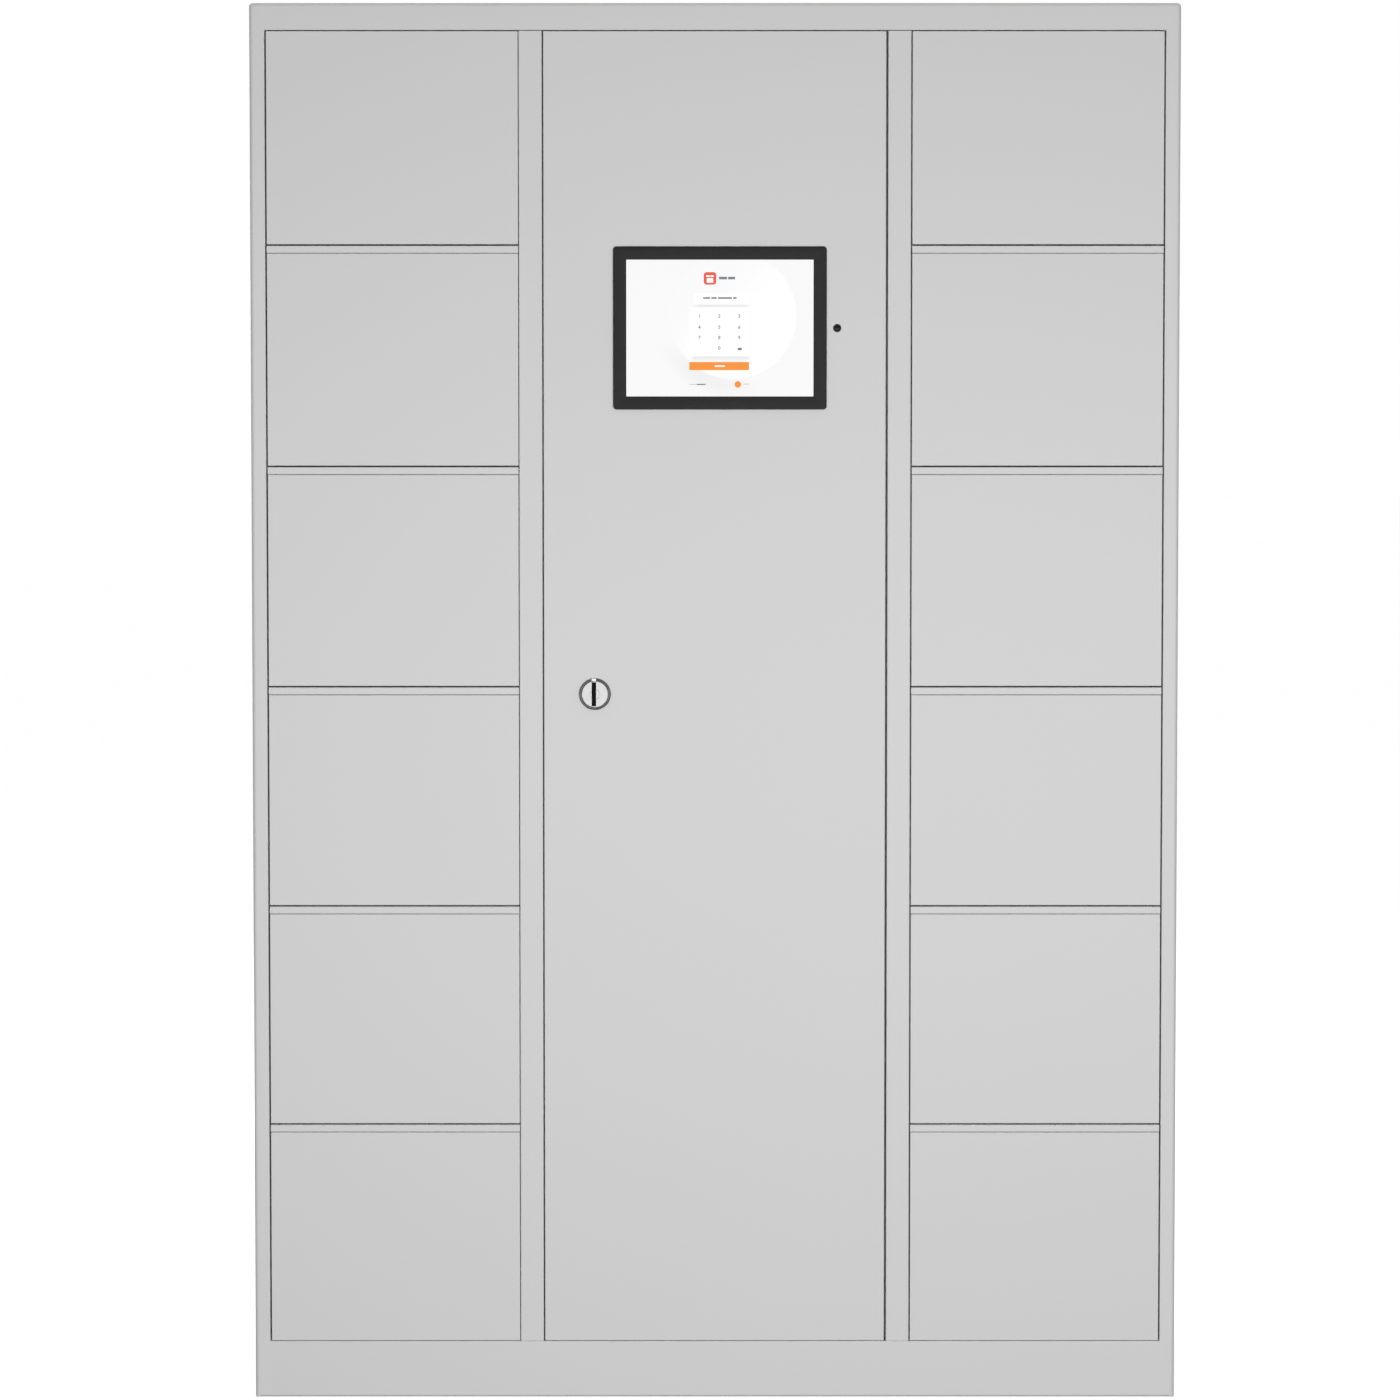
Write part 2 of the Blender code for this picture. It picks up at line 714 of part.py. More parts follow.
# ---- Service door and what it carries -----------------------------------------------------
def service_door():
    door = pan(
        "service_door",
        (SERVICE_DOOR_LEFT, FRONT, DOOR_BOTTOM),
        (SERVICE_DOOR_RIGHT, FRONT + DOOR_DEPTH, DOOR_TOP),
        1,
        DOOR_LIP,
        SHEET,
        PAINT,
    )
    outline = rounded_rectangle(TABLET_CUTOUT, TABLET_CORNER)
    window = flat_piece("window", [outline], (TABLET_X, FRONT, TABLET_Z), 4 * SHEET, PAINT)
    cut(
        door,
        as_cutter(window),
        rod_hole(SERVICE_ROD_X, DOOR_BOTTOM - PAST, DOOR_TOP + PAST),
        round_cutter((CAMERA_X, FRONT, TABLET_Z), CAMERA_RADIUS + FIT, 4 * SHEET, "Y", 24),
        round_cutter((KEY_X, FRONT, KEY_Z), KEY_BARREL_RADIUS + FIT, 4 * SHEET, "Y", 32),
    )
    return settled(door)


def tablet_parts():
    """The black bezel on the door, the tablet behind it and the steel housing that holds it."""
    bezel = flat_piece(
        "tablet_bezel",
        [rounded_rectangle(BEZEL, BEZEL_CORNER), rounded_rectangle(BEZEL_WINDOW, 0)],
        (TABLET_X, FRONT - (BEZEL_PROUD + FIT) / 2, TABLET_Z),
        BEZEL_PROUD - FIT,
        BLACK_PLASTIC,
    )
    tablet = flat_piece(
        "tablet",
        [rounded_rectangle(TABLET_SIZE, TABLET_CORNER)],
        (TABLET_X, FRONT + TABLET_BEHIND + TABLET_THICKNESS / 2, TABLET_Z),
        TABLET_THICKNESS,
        GLASS,
    )
    half = (HOUSING_SIZE[0] / 2, HOUSING_SIZE[1] / 2)
    front = FRONT + SHEET + FIT
    housing = pan(
        "tablet_housing",
        (TABLET_X - half[0], front, TABLET_Z - half[1]),
        (TABLET_X + half[0], front + HOUSING_DEPTH, TABLET_Z + half[1]),
        -1,
        0,
        HOUSING_SHEET,
        ZINC,
    )
    return [bezel, tablet, settled(housing)]


def camera_module():
    """A round lens barrel through the door, with its square case behind."""
    half = CAMERA_CASE / 2
    profile = [
        (0.0, 0.0),
        (CAMERA_RADIUS, 0.0),
        (CAMERA_RADIUS, -CAMERA_BARREL),
        (0.0, -CAMERA_BARREL),
    ]
    obj = turned("camera_module", profile, (CAMERA_X, FRONT, TABLET_Z), BLACK_PLASTIC, steps=24)
    front = FRONT + CAMERA_BARREL - OVERLAP
    join(
        obj,
        box_cutter(
            (CAMERA_X - half, front, TABLET_Z - half),
            (CAMERA_X + half, front + CAMERA_CASE_DEPTH, TABLET_Z + half),
        ),
    )
    return smooth(settled(obj))


def key_lock():
    """A ring and barrel fixed in the door, the slotted plug that turns in it, and the cam that the
    plug carries behind the door. The cam hangs down at rest, and points to the post when locked."""
    middle = (KEY_X, FRONT, KEY_Z)
    barrel_end = -KEY_BARREL_LENGTH
    seat_radius = KEY_FACE_RADIUS + KEY_RUNNING_GAP
    bore_radius = KEY_SHAFT_RADIUS + KEY_BORE_GAP
    seat = 2 * KEY_RUNNING_GAP
    ring = [
        (KEY_RING_RADIUS - KEY_RING_CHAMFER, LOCK_PROUD),
        (KEY_RING_RADIUS, LOCK_PROUD - KEY_RING_CHAMFER),
        (KEY_RING_RADIUS, FIT),
        (KEY_BARREL_RADIUS, FIT),
        (KEY_BARREL_RADIUS, barrel_end),
        (bore_radius, barrel_end),
        (bore_radius, seat),
        (seat_radius, seat),
        (seat_radius, LOCK_PROUD - KEY_RUNNING_GAP),
        (seat_radius + KEY_RUNNING_GAP, LOCK_PROUD),
    ]
    housing = smooth(settled(turned("lock_housing", ring, middle, CHROME, closed=True)))

    face = LOCK_PROUD - KEY_FACE_SUNK
    behind_face = seat + KEY_RUNNING_GAP
    profile = [
        (0.0, face),
        (KEY_FACE_RADIUS - KEY_FACE_CHAMFER, face),
        (KEY_FACE_RADIUS, face - KEY_FACE_CHAMFER),
        (KEY_FACE_RADIUS, behind_face),
        (KEY_SHAFT_RADIUS, behind_face),
        (KEY_SHAFT_RADIUS, -SHAFT_END),
        (0.0, -SHAFT_END),
    ]
    plug = turned("lock_plug", profile, middle, CHROME)
    half = SPINDLE_SQUARE / 2
    join(
        plug,
        box_cutter(
            (KEY_X - half, FRONT + SHAFT_END - OVERLAP, KEY_Z - half),
            (KEY_X + half, FRONT + SPINDLE_END, KEY_Z + half),
        ),
    )
    width, height, depth = KEY_SLOT
    slot_bottom = FRONT - face + depth
    cut(
        plug,
        box_cutter(
            (KEY_X - width / 2, slot_bottom - PAST, KEY_Z - height / 2),
            (KEY_X + width / 2, slot_bottom, KEY_Z + height / 2),
        ),
    )
    plug = smooth(settled(plug))

    radius = CAM_WIDTH / 2
    drop = CAM_LENGTH - radius
    top = corner_arc((0, 0), radius, 0, 6) + corner_arc((0, 0), radius, pi / 2, 6)[1:]
    bottom = corner_arc((0, -drop), radius, pi, 6) + corner_arc((0, -drop), radius, 3 * pi / 2, 6)[1:]
    hole = rounded_rectangle((SPINDLE_SQUARE + 2 * FIT,) * 2, 0)
    cam = flat_piece(
        "lock_cam",
        [top + bottom, hole],
        (KEY_X, CAM_FRONT + CAM_SHEET / 2, KEY_Z),
        CAM_SHEET,
        ZINC,
    )
    hang(plug, cam)
    return [housing, plug]


# ---- Electrics in the service bay ---------------------------------------------------------
CONTROLLER = {"size": (0.180, 0.050, 0.240), "x": 0.0, "z": 1.060}
SUPPLY = {"size": (0.110, 0.045, 0.200), "x": 0.060, "z": 0.560}


def wall_box(name, what, spec):
    width, depth, height = what["size"]
    return box(
        name,
        (what["x"] - width / 2, BACK_FRONT - FIT - depth, what["z"]),
        (what["x"] + width / 2, BACK_FRONT - FIT, what["z"] + height),
        spec,
    )


def power_inlet():
    """A mains inlet held inside the back panel, its face level with the panel's outer face."""
    face, inside = BACK_FRONT + SHEET, BACK_FRONT - FIT
    half = (INLET_HOLE[0] / 2 - FIT, INLET_HOLE[1] / 2 - FIT)
    obj = box(
        "power_inlet",
        (INLET_X - half[0], inside - INLET_DEPTH, INLET_Z - half[1]),
        (INLET_X + half[0], face, INLET_Z + half[1]),
        BLACK_PLASTIC,
    )
    width, thickness, height = INLET_FLANGE
    join(
        obj,
        box_cutter(
            (INLET_X - width / 2, inside - thickness, INLET_Z - height / 2),
            (INLET_X + width / 2, inside, INLET_Z + height / 2),
        ),
    )
    width, depth, height = INLET_SOCKET
    cut(
        obj,
        box_cutter(
            (INLET_X - width / 2, face - depth, INLET_Z - height / 2),
            (INLET_X + width / 2, face + PAST, INLET_Z + height / 2),
        ),
    )
    return settled(obj)


LOOM_RADIUS = 0.004
LOOM_OFF_WALL, LOOM_OFF_BACK = 0.001, 0.012
LOOM_IN_POST = 0.041  # behind the front plane
LOOM_BELOW_BOLT = 0.010  # its ends, from the first and the last bolt


def wiring_loom(side_name):
    """From the controller along the back and the partition to the post, up it and down again past
    every lock."""
    side = BANKS[side_name]["side"]
    level = CONTROLLER["z"] + CONTROLLER["size"][2] / 2
    case_edge = CONTROLLER["size"][0] / 2 + FIT
    by_wall = PARTITION_X - SHEET - LOOM_RADIUS - LOOM_OFF_WALL
    by_back = BACK_FRONT - FIT - LOOM_RADIUS - LOOM_OFF_BACK
    in_post = FRONT + LOOM_IN_POST
    top, bottom = (bolt_height(row) - LOOM_BELOW_BOLT for row in (0, ROWS - 1))
    route = [
        (case_edge, by_back, level),
        (case_edge + 0.040, by_back, level),
        (by_wall - 0.030, by_back, level - 0.010),
        (by_wall - 0.004, by_back - 0.030, level - 0.020),
        (by_wall, by_back - 0.080, level - 0.030),
        (by_wall, 0.0, level - 0.034),
        (by_wall, in_post + 0.060, level - 0.020),
        (by_wall - 0.008, in_post + 0.016, level + 0.010),
        (by_wall - 0.014, in_post, level + 0.060),
        (by_wall - 0.014, in_post, top - 0.120),
        (by_wall - 0.014, in_post, top - 0.030),
        (by_wall - 0.023, in_post, top),
        (by_wall - 0.032, in_post, top - 0.030),
        (by_wall - 0.032, in_post, top - 0.120),
        (by_wall - 0.032, in_post, level),
        (by_wall - 0.030, in_post, (level + bottom) / 2),
        (by_wall - 0.028, in_post, bottom),
    ]
    return smooth(
        tube("wiring_loom_" + side_name, [(side * x, y, z) for x, y, z in route], LOOM_RADIUS, CABLE)
    )


def main():
    for side_name, bank in BANKS.items():
        side_panel(side_name)
        partition(side_name)
        lock_rail(side_name)
        wiring_loom(side_name)
        hinge_rod("hinge_rod_" + side_name, rod_x(bank))
    top_panel()
    plinth()
    base_panel()
    back_panel()
    shelves()
    small_doors()
    bolts()
    hinge_rod("hinge_rod_service", SERVICE_ROD_X)
    service_axis = empty("service_door_axis", (SERVICE_ROD_X, FRONT + PIVOT_DEPTH, 0))
    hang(service_axis, service_door(), *tablet_parts(), camera_module(), *key_lock())
    wall_box("controller_box", CONTROLLER, DARK_CASE)
    wall_box("power_supply", SUPPLY, ZINC)
    power_inlet()


clear_scene()
PARTS = collection("parcel_locker")
CUTTERS = collection("cutters")
main()
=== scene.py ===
"""Looks for the parcel locker: painted sheet steel, tablet, lock and electrics round the CAD frame.

Everything is in metres and in the CAD frame. The front faces -Y and +X is to its viewer's right.
"""

from math import cos, pi, radians, sin

import bmesh
import bpy
from mathutils import Matrix, Vector

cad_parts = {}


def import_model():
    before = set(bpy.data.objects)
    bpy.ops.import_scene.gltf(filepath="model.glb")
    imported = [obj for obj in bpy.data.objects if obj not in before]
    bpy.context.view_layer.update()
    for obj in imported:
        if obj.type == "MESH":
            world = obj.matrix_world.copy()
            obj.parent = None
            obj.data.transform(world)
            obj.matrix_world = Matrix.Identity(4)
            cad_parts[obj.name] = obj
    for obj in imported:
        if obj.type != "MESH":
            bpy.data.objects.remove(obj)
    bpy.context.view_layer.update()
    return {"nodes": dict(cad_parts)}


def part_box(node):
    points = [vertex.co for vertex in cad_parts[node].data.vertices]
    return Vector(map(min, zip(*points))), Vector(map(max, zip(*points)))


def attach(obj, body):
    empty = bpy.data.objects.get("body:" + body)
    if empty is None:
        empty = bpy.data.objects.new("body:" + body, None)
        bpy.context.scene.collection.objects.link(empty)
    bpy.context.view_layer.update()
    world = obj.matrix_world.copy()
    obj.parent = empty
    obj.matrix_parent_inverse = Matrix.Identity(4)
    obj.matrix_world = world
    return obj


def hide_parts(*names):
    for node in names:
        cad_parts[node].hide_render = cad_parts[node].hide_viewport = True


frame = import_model()


# ---- Places read from the frame, and sizes that several pieces share ----
def middle_of(node):
    low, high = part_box(node)
    return (low + high) / 2


SHEET = 0.0012
REBATE, REBATE_DEPTH = 0.015, 0.024
REAR_FLANGE, PLINTH_FOOT = 0.015, 0.02
SIDES = {"left": -1, "right": 1}
ROWS = 6

LOW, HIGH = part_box("side_panel_left")[0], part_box("side_panel_right")[1]
FRONT, REAR, HEIGHT = LOW.y, HIGH.y, HIGH.z
STILE_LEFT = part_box("side_panel_left")[1].x - REBATE
STILE_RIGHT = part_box("side_panel_right")[0].x + REBATE
HEADER_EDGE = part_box("top_panel")[0].z
PLINTH_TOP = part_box("plinth")[1].z
BACK_INSIDE, BACK_FACE = (corner.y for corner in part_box("back_panel"))
ROD_X = {name: middle_of("hinge_rod_" + name).x for name in ("left", "right", "service")}
ROD_Y = middle_of("hinge_rod_left").y
SERVICE_LOW, SERVICE_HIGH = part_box("service_door")
TABLET = middle_of("tablet_bezel")


def on_front(node):
    """The middle of a node, moved to the plane of the doors' faces."""
    middle = middle_of(node)
    return Vector((middle.x, FRONT, middle.z))


KEY, CAMERA_HOLE = on_front("lock_housing"), on_front("camera_module")


# ---- Materials ----
def add_node(tree, kind, inputs, **settings):
    """A shader node. Each of its inputs gets a value, or a link from another node's output."""
    node = tree.nodes.new("ShaderNode" + kind)
    for name, value in settings.items():
        setattr(node, name, value)
    for key, value in inputs.items():
        if isinstance(value, bpy.types.NodeSocket):
            tree.links.new(value, node.inputs[key])
        else:
            node.inputs[key].default_value = value
    return node


def tint(colour, factor):
    return tuple(part * factor for part in colour)


MIX_A, MIX_B, MIX_RESULT = 6, 7, 2  # the Mix node's colour sockets, whose names aren't unique


class Shader:
    """A Principled material and a few short ways to add procedural detail to it."""

    def __init__(self, name, colour, roughness, metallic=0, specular=0.5):
        self.colour, self.roughness = colour, roughness
        self.material = bpy.data.materials.new(name)
        self.material.use_nodes = True
        self.tree = self.material.node_tree
        self.surface = self.tree.nodes["Principled BSDF"].inputs
        self.set("Base Color", (*colour, 1))
        self.set("Roughness", roughness)
        self.set("Metallic", metallic)
        self.set("Specular IOR Level", specular)
        self.place = add_node(self.tree, "TexCoord", {}).outputs["Object"]

    def set(self, socket, value):
        self.surface[socket].default_value = value

    def link(self, output, socket):
        self.tree.links.new(output, self.surface[socket])

    def noise(self, scale, detail=2, vector=None):
        inputs = {"Scale": scale, "Detail": detail, "Vector": vector or self.place}
        return add_node(self.tree, "TexNoise", inputs).outputs["Fac"]

    def cells(self, scale):
        inputs = {"Scale": scale, "Vector": self.place}
        return add_node(self.tree, "TexVoronoi", inputs).outputs["Distance"]

    def spread(self, value, low, high, start=0, end=1, easing="LINEAR"):
        """Runs from low to high as value goes from start to end."""
        inputs = {"From Min": start, "From Max": end, "To Min": low, "To Max": high, "Value": value}
        return add_node(self.tree, "MapRange", inputs, interpolation_type=easing).outputs["Result"]

    def fade(self, value, start, end, low=1, high=0):
        return self.spread(value, low, high, start, end, "SMOOTHSTEP")

    def math(self, operation, first, second=0):
        node = add_node(self.tree, "Math", {0: first, 1: second}, operation=operation)
        return node.outputs["Value"]

    def mix(self, factor, first, second):
        """A colour between first and second, which are colours or outputs."""
        ends = [(*end, 1) if isinstance(end, tuple) else end for end in (first, second)]
        inputs = {"Factor": factor, MIX_A: ends[0], MIX_B: ends[1]}
        return add_node(self.tree, "Mix", inputs, data_type="RGBA").outputs[MIX_RESULT]

    def finish(self, tone, wear, *heights):
        """The material with its detail. tone is (value, low, high), factors of the colour. wear is
        (value, below, above), margins of the roughness. Each height is a bump, from coarse to
        fine: (value, distance in metres, strength)."""
        value, low, high = tone
        self.link(self.mix(value, tint(self.colour, low), tint(self.colour, high)), "Base Color")
        if wear:
            value, below, above = wear
            margins = (self.roughness - below, self.roughness + above)
            self.link(self.spread(value, *margins), "Roughness")
        normal = None
        for value, distance, strength in heights:
            inputs = {"Distance": distance, "Strength": strength, "Height": value}
            if normal:
                inputs["Normal"] = normal
            normal = add_node(self.tree, "Bump", inputs).outputs["Normal"]
            self.link(normal, "Normal")
        return self.material


def powder_coat(name, colour, roughness=0.46):
    """Fine-texture powder coat: a faint mottle, an orange-peel skin and a fine grain."""
    shader = Shader(name, colour, roughness, specular=0.35)
    mottle, wear = (shader.noise(2.2, 3), 0.985, 1.015), (shader.noise(420), 0.04, 0.05)
    peel, grain = (shader.noise(620, 1), 0.00006, 0.3), (shader.cells(2400), 0.00002, 0.2)
    return shader.finish(mottle, wear, peel, grain)


def zinc(name, colour, roughness=0.36):
    """Zinc-plated steel with faint grains and handling marks."""
    shader = Shader(name, colour, roughness, 1)
    grains, marks = (shader.cells(260), 0.86, 1.1), (shader.noise(90, 4), 0.08, 0.12)
    return shader.finish(grains, marks, (shader.noise(700), 0.00003, 0.25))


def brushed(name, colour, roughness, across=(4000, 4000, 60), metallic=1):
    """Metal with brush lines along the axis that is scaled least."""
    shader = Shader(name, colour, roughness, metallic)
    mapping = add_node(shader.tree, "Mapping", {"Scale": across, "Vector": shader.place})
    lines = shader.noise(1, 2, mapping.outputs["Vector"])
    return shader.finish((lines, 0.9, 1.05), (lines, 0.05, 0.1), (lines, 0.00002, 0.25))


def moulded(name, colour, roughness, grain=1400, depth=0.00003, specular=0.5):
    """Moulded plastic or rubber with a fine spark-eroded grain."""
    shader = Shader(name, colour, roughness, specular=specular)
    tone, wear = (shader.noise(60), 0.92, 1.08), (shader.noise(300), 0.04, 0.06)
    return shader.finish(tone, wear, (shader.noise(grain, 3), depth, 0.35))


def braided(name, colour):
    """Cable jacket in a woven sleeve."""
    shader = Shader(name, colour, 0.62)
    weave = shader.cells(900)
    return shader.finish((weave, 0.7, 1.6), None, (weave, 0.0003, 0.5))


def gloss(name, colour, roughness=0.08, specular=0.5):
    """Cover glass or a lens: smooth, with the faintest unevenness."""
    shader = Shader(name, colour, roughness, specular=specular)
    haze = shader.noise(35, 3)
    return shader.finish((haze, 0.9, 1.1), (haze, 0.02, 0.04))


SCREEN_SHEEN, SCREEN_ROUGHNESS = 0.08, 0.35


def lit(name, colour, strength=1):
    """Something drawn on the lit screen, with the screen's own fine pixel grid."""
    shader = Shader(name, tint(colour, 0.01), SCREEN_ROUGHNESS, specular=SCREEN_SHEEN)
    shader.set("Emission Strength", strength)
    grid = shader.noise(2600, 0)
    shader.link(shader.mix(grid, tint(colour, 0.985), colour), "Emission Color")
    return shader.material


PAINT = powder_coat("powder_coat", (0.602, 0.602, 0.602))
ZINC = zinc("zinc_plate", (0.6, 0.61, 0.62))
SUPPLY_CASE = zinc("supply_case", (0.46, 0.47, 0.48), 0.52)
SCREW = brushed("screw_steel", (0.52, 0.52, 0.53), 0.3)
DARK_CHROME = brushed("dark_chrome", (0.17, 0.17, 0.174), 0.32, (60, 1500, 3000))
LOCK_FACE = brushed("lock_face", (0.57, 0.57, 0.57), 0.52, (2600, 2600, 200), 0.35)
BLACKENED = brushed("blackened_steel", (0.035, 0.035, 0.036), 0.5, (3000, 3000, 60))
BEZEL = moulded("bezel_plastic", (0.0135, 0.0135, 0.0135), 0.46, specular=0.13)
BLACK = moulded("black_plastic", (0.018, 0.018, 0.019), 0.42)
CASE = moulded("controller_plastic", (0.045, 0.047, 0.05), 0.5, 900, 0.00005)
CREAM = moulded("connector_nylon", (0.66, 0.64, 0.57), 0.45)
GREEN = moulded("terminal_green", (0.03, 0.22, 0.09), 0.4)
RUBBER = moulded("bumper_rubber", (0.022, 0.022, 0.022), 0.75, 500, 0.00008)
# Near-black and barely shiny: painted shade that fills the key slot.
SLOT_SHADE = moulded("painted_slot_shade", (0.002, 0.002, 0.002), 0.6, specular=0.08)
JACKET = braided("loom_sleeve", (0.02, 0.02, 0.021))
SHEATH = moulded("cable_sheath", (0.024, 0.024, 0.025), 0.48, 700)
BROWN = moulded("core_brown", (0.16, 0.055, 0.02), 0.4)
BLUE = moulded("core_blue", (0.02, 0.11, 0.42), 0.4)
EARTH = moulded("core_earth", (0.3, 0.42, 0.03), 0.4)
RED = moulded("core_red", (0.48, 0.018, 0.012), 0.4)
GLASS = gloss("cover_glass", (0.01, 0.01, 0.012))
LENS = gloss("camera_lens", (0.006, 0.006, 0.012), 0.16, 0.1)
TOP_MARK = moulded("top_mark_white", (0.95, 0.95, 0.95), 0.3)


# ---- Mesh tools ----
MERGE, CLOSE = 1e-7, 1e-6  # how near points merge, and how near numbers count as equal
SHARP = radians(38)  # edges that turn more than this stay sharp
STAND = Matrix.Rotation(pi / 2, 4, "X")  # stands up what lies in the XY plane


def near(value, target):
    return abs(value - target) < CLOSE


def add_object(name, data):
    obj = bpy.data.objects.new(name, data)
    bpy.context.scene.collection.objects.link(obj)
    return obj


def show(name, mesh, materials, body, replaces=None, location=(0, 0, 0), flip=False):
    """Puts a mesh in the scene as a piece that rides on a body, and may replace a CAD node."""
    obj = add_object(name, mesh)
    obj.location = location
    obj.scale.x = -1 if flip else 1
    if not mesh.materials:
        for one in materials:
            mesh.materials.append(one)
    bpy.context.view_layer.update()
    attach(obj, body)
    if replaces:
        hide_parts(replaces)


def modify(obj, kind, **settings):
    """Adds a modifier."""
    modifier = obj.modifiers.new(kind.lower(), kind)
    for name, value in settings.items():
        setattr(modifier, name, value)
    return obj


def settle(obj):
    """The mesh of obj with its modifiers; obj itself is removed."""
    bpy.context.view_layer.update()
    evaluated = obj.evaluated_get(bpy.context.evaluated_depsgraph_get())
    mesh = bpy.data.meshes.new_from_object(evaluated)
    mesh.materials.clear()
    bpy.data.objects.remove(obj, do_unlink=True)
    return mesh


def pressed(obj):
    """The mesh of obj, shaded so that flat faces stay flat and only rounded edges turn."""
    obj.data.shade_smooth()
    return settle(modify(obj, "WEIGHTED_NORMAL", keep_sharp=True))


def draft(bm, name="draft"):
    """A temporary object from a bmesh."""
    mesh = bpy.data.meshes.new(name)
    bm.to_mesh(mesh)
    bm.free()
    return add_object(name, mesh)


def solidify(obj):
    return modify(obj, "SOLIDIFY", thickness=SHEET, offset=-1, use_even_offset=True)


def carve(obj, *builders):
    """Cuts each builder's shape out of obj and removes the cutters."""
    cutters = [draft(builder.bm) for builder in builders]
    for one in cutters:
        modify(obj, "BOOLEAN", operation="DIFFERENCE", solver="EXACT", object=one)
    mesh = settle(obj)
    for one in cutters:
        bpy.data.objects.remove(one, do_unlink=True)
    return add_object("carved", mesh)


def curve_mesh(curve):
    """The mesh of a curve, which is removed."""
    mesh = settle(add_object("curve", curve))
    bpy.data.curves.remove(curve)
    return mesh


def turn_to(direction):
    return Vector((0, 0, 1)).rotation_difference(direction).to_matrix().to_4x4()


def round_edges(bm, edges, radius, segments):
    bmesh.ops.bevel(bm, geom=edges, offset=radius, segments=segments, profile=0.5, affect="EDGES")


def dome(radius, height, steps, base=0):
    """The profile of a domed top, from its rim to its middle."""
    turns = [pi / 2 * i / steps for i in range(steps + 1)]
    return [(radius * cos(t), base + height * sin(t)) for t in turns]


class Builder:
    """Gathers shapes into one mesh. paint is a place in the list of materials given to make()."""

    def __init__(self):
        self.bm = bmesh.new()

    def _paint(self, before, paint):
        """Paints the faces that are new since before, and returns them."""
        fresh = set(self.bm.faces) - before
        for face in fresh:
            face.material_index = paint
        return fresh

    def add(self, mesh, paint=0):
        """Joins a finished mesh in, and removes it."""
        before = set(self.bm.faces)
        self.bm.from_mesh(mesh)
        bpy.data.meshes.remove(mesh)
        self._paint(before, paint)
        return self

    def block(self, low, high, bevel=0, segments=2, paint=0):
        low, high = Vector(low), Vector(high)
        before = set(self.bm.faces)
        matrix = Matrix.Translation((low + high) / 2) @ Matrix.Diagonal((*(high - low), 1))
        verts = bmesh.ops.create_cube(self.bm, size=1, matrix=matrix)["verts"]
        if bevel:
            edges = list({edge for vert in verts for edge in vert.link_edges})
            round_edges(self.bm, edges, bevel, segments)
        self._paint(before, paint)
        return self

    def upright(self, x, z, half_x, half_z, front, back, bevel=0, segments=2, paint=0):
        """A block whose middle is at x and z."""
        low, high = (x - half_x, front, z - half_z), (x + half_x, back, z + half_z)
        return self.block(low, high, bevel, segments, paint)

    def rod(self, start, end, radius, segments=32, end_radius=None, paint=0):
        start, end = Vector(start), Vector(end)
        before = set(self.bm.faces)
        radii = {"radius1": radius, "radius2": radius if end_radius is None else end_radius}
        matrix = Matrix.Translation((start + end) / 2) @ turn_to(end - start)
        size = {"segments": segments, "depth": (end - start).length, **radii}
        bmesh.ops.create_cone(self.bm, cap_ends=True, matrix=matrix, **size)
        self._paint(before, paint)
        return self

    def lathe(self, profile, middle, towards=(0, -1, 0), segments=64, paint=0):
        """A turned shape. Profile points are (radius, height along towards)."""
        towards = Vector(towards)
        matrix = Matrix.Translation(middle) @ turn_to(towards)
        verts = [self.bm.verts.new(matrix @ Vector((r, 0, h))) for r, h in profile]
        edges = [self.bm.edges.new(pair) for pair in zip(verts, verts[1:])]
        before = set(self.bm.faces)
        sweep = {"cent": middle, "axis": towards, "angle": 2 * pi, "steps": segments}
        bmesh.ops.spin(self.bm, geom=verts + edges, use_merge=True, **sweep)
        corners = {vert for face in self._paint(before, paint) for vert in face.verts}
        bmesh.ops.remove_doubles(self.bm, verts=list(corners), dist=MERGE)
        return self

    def screw_head(self, middle, towards, radius=0.0032, paint=0):
        """A domed head that stands on a surface."""
        profile = [(radius, -0.0002), *dome(radius, radius * 0.4, 4)]
        return self.lathe(profile, middle, towards, 20, paint)

    def tube(self, route, radius, paint=0):
        """A round cable on a smooth curve through the route's points."""
        curve = bpy.data.curves.new("tube", "CURVE")
        curve.dimensions = "3D"
        curve.bevel_depth = radius
        curve.bevel_resolution = 3
        curve.use_fill_caps = True
        spline = curve.splines.new("BEZIER")
        spline.bezier_points.add(len(route) - 1)
        for point, place in zip(spline.bezier_points, route):
            point.co = place
            point.handle_left_type = point.handle_right_type = "AUTO"
        hold_to_wall(spline)
        return self.add(curve_mesh(curve), paint)

    def mesh(self, name):
        bmesh.ops.recalc_face_normals(self.bm, faces=self.bm.faces)
        mesh = bpy.data.meshes.new(name)
        self.bm.to_mesh(mesh)
        self.bm.free()
        mesh.shade_smooth()
        mesh.set_sharp_from_angle(angle=SHARP)
        return mesh

    def make(self, name, materials, body, slot, replaces=None):
        show(name, self.mesh(name), materials, body, replaces)


def hold_to_wall(spline):
    """Runs a cable straight along the wall at its rearmost points, so it can't bulge past."""
    wall = max(point.co.y for point in spline.bezier_points)
    for point in spline.bezier_points:
        ends = [point.handle_left.copy(), point.handle_right.copy()]
        if near(point.co.y, wall):
            ends = [Vector((end.x, wall, end.z)) for end in ends]
        point.handle_left_type = point.handle_right_type = "FREE"
        point.handle_left, point.handle_right = ends


def arc(middle, radius, start, steps):
    """A quarter turn from the angle start."""
    turns = [start + pi / 2 * i / steps for i in range(steps + 1)]
    return [(middle[0] + radius * cos(t), middle[1] + radius * sin(t)) for t in turns]


def circle(x, z, radius, steps=40):
    turns = [2 * pi * i / steps for i in range(steps)]
    return [(x + radius * cos(t), z + radius * sin(t)) for t in turns]


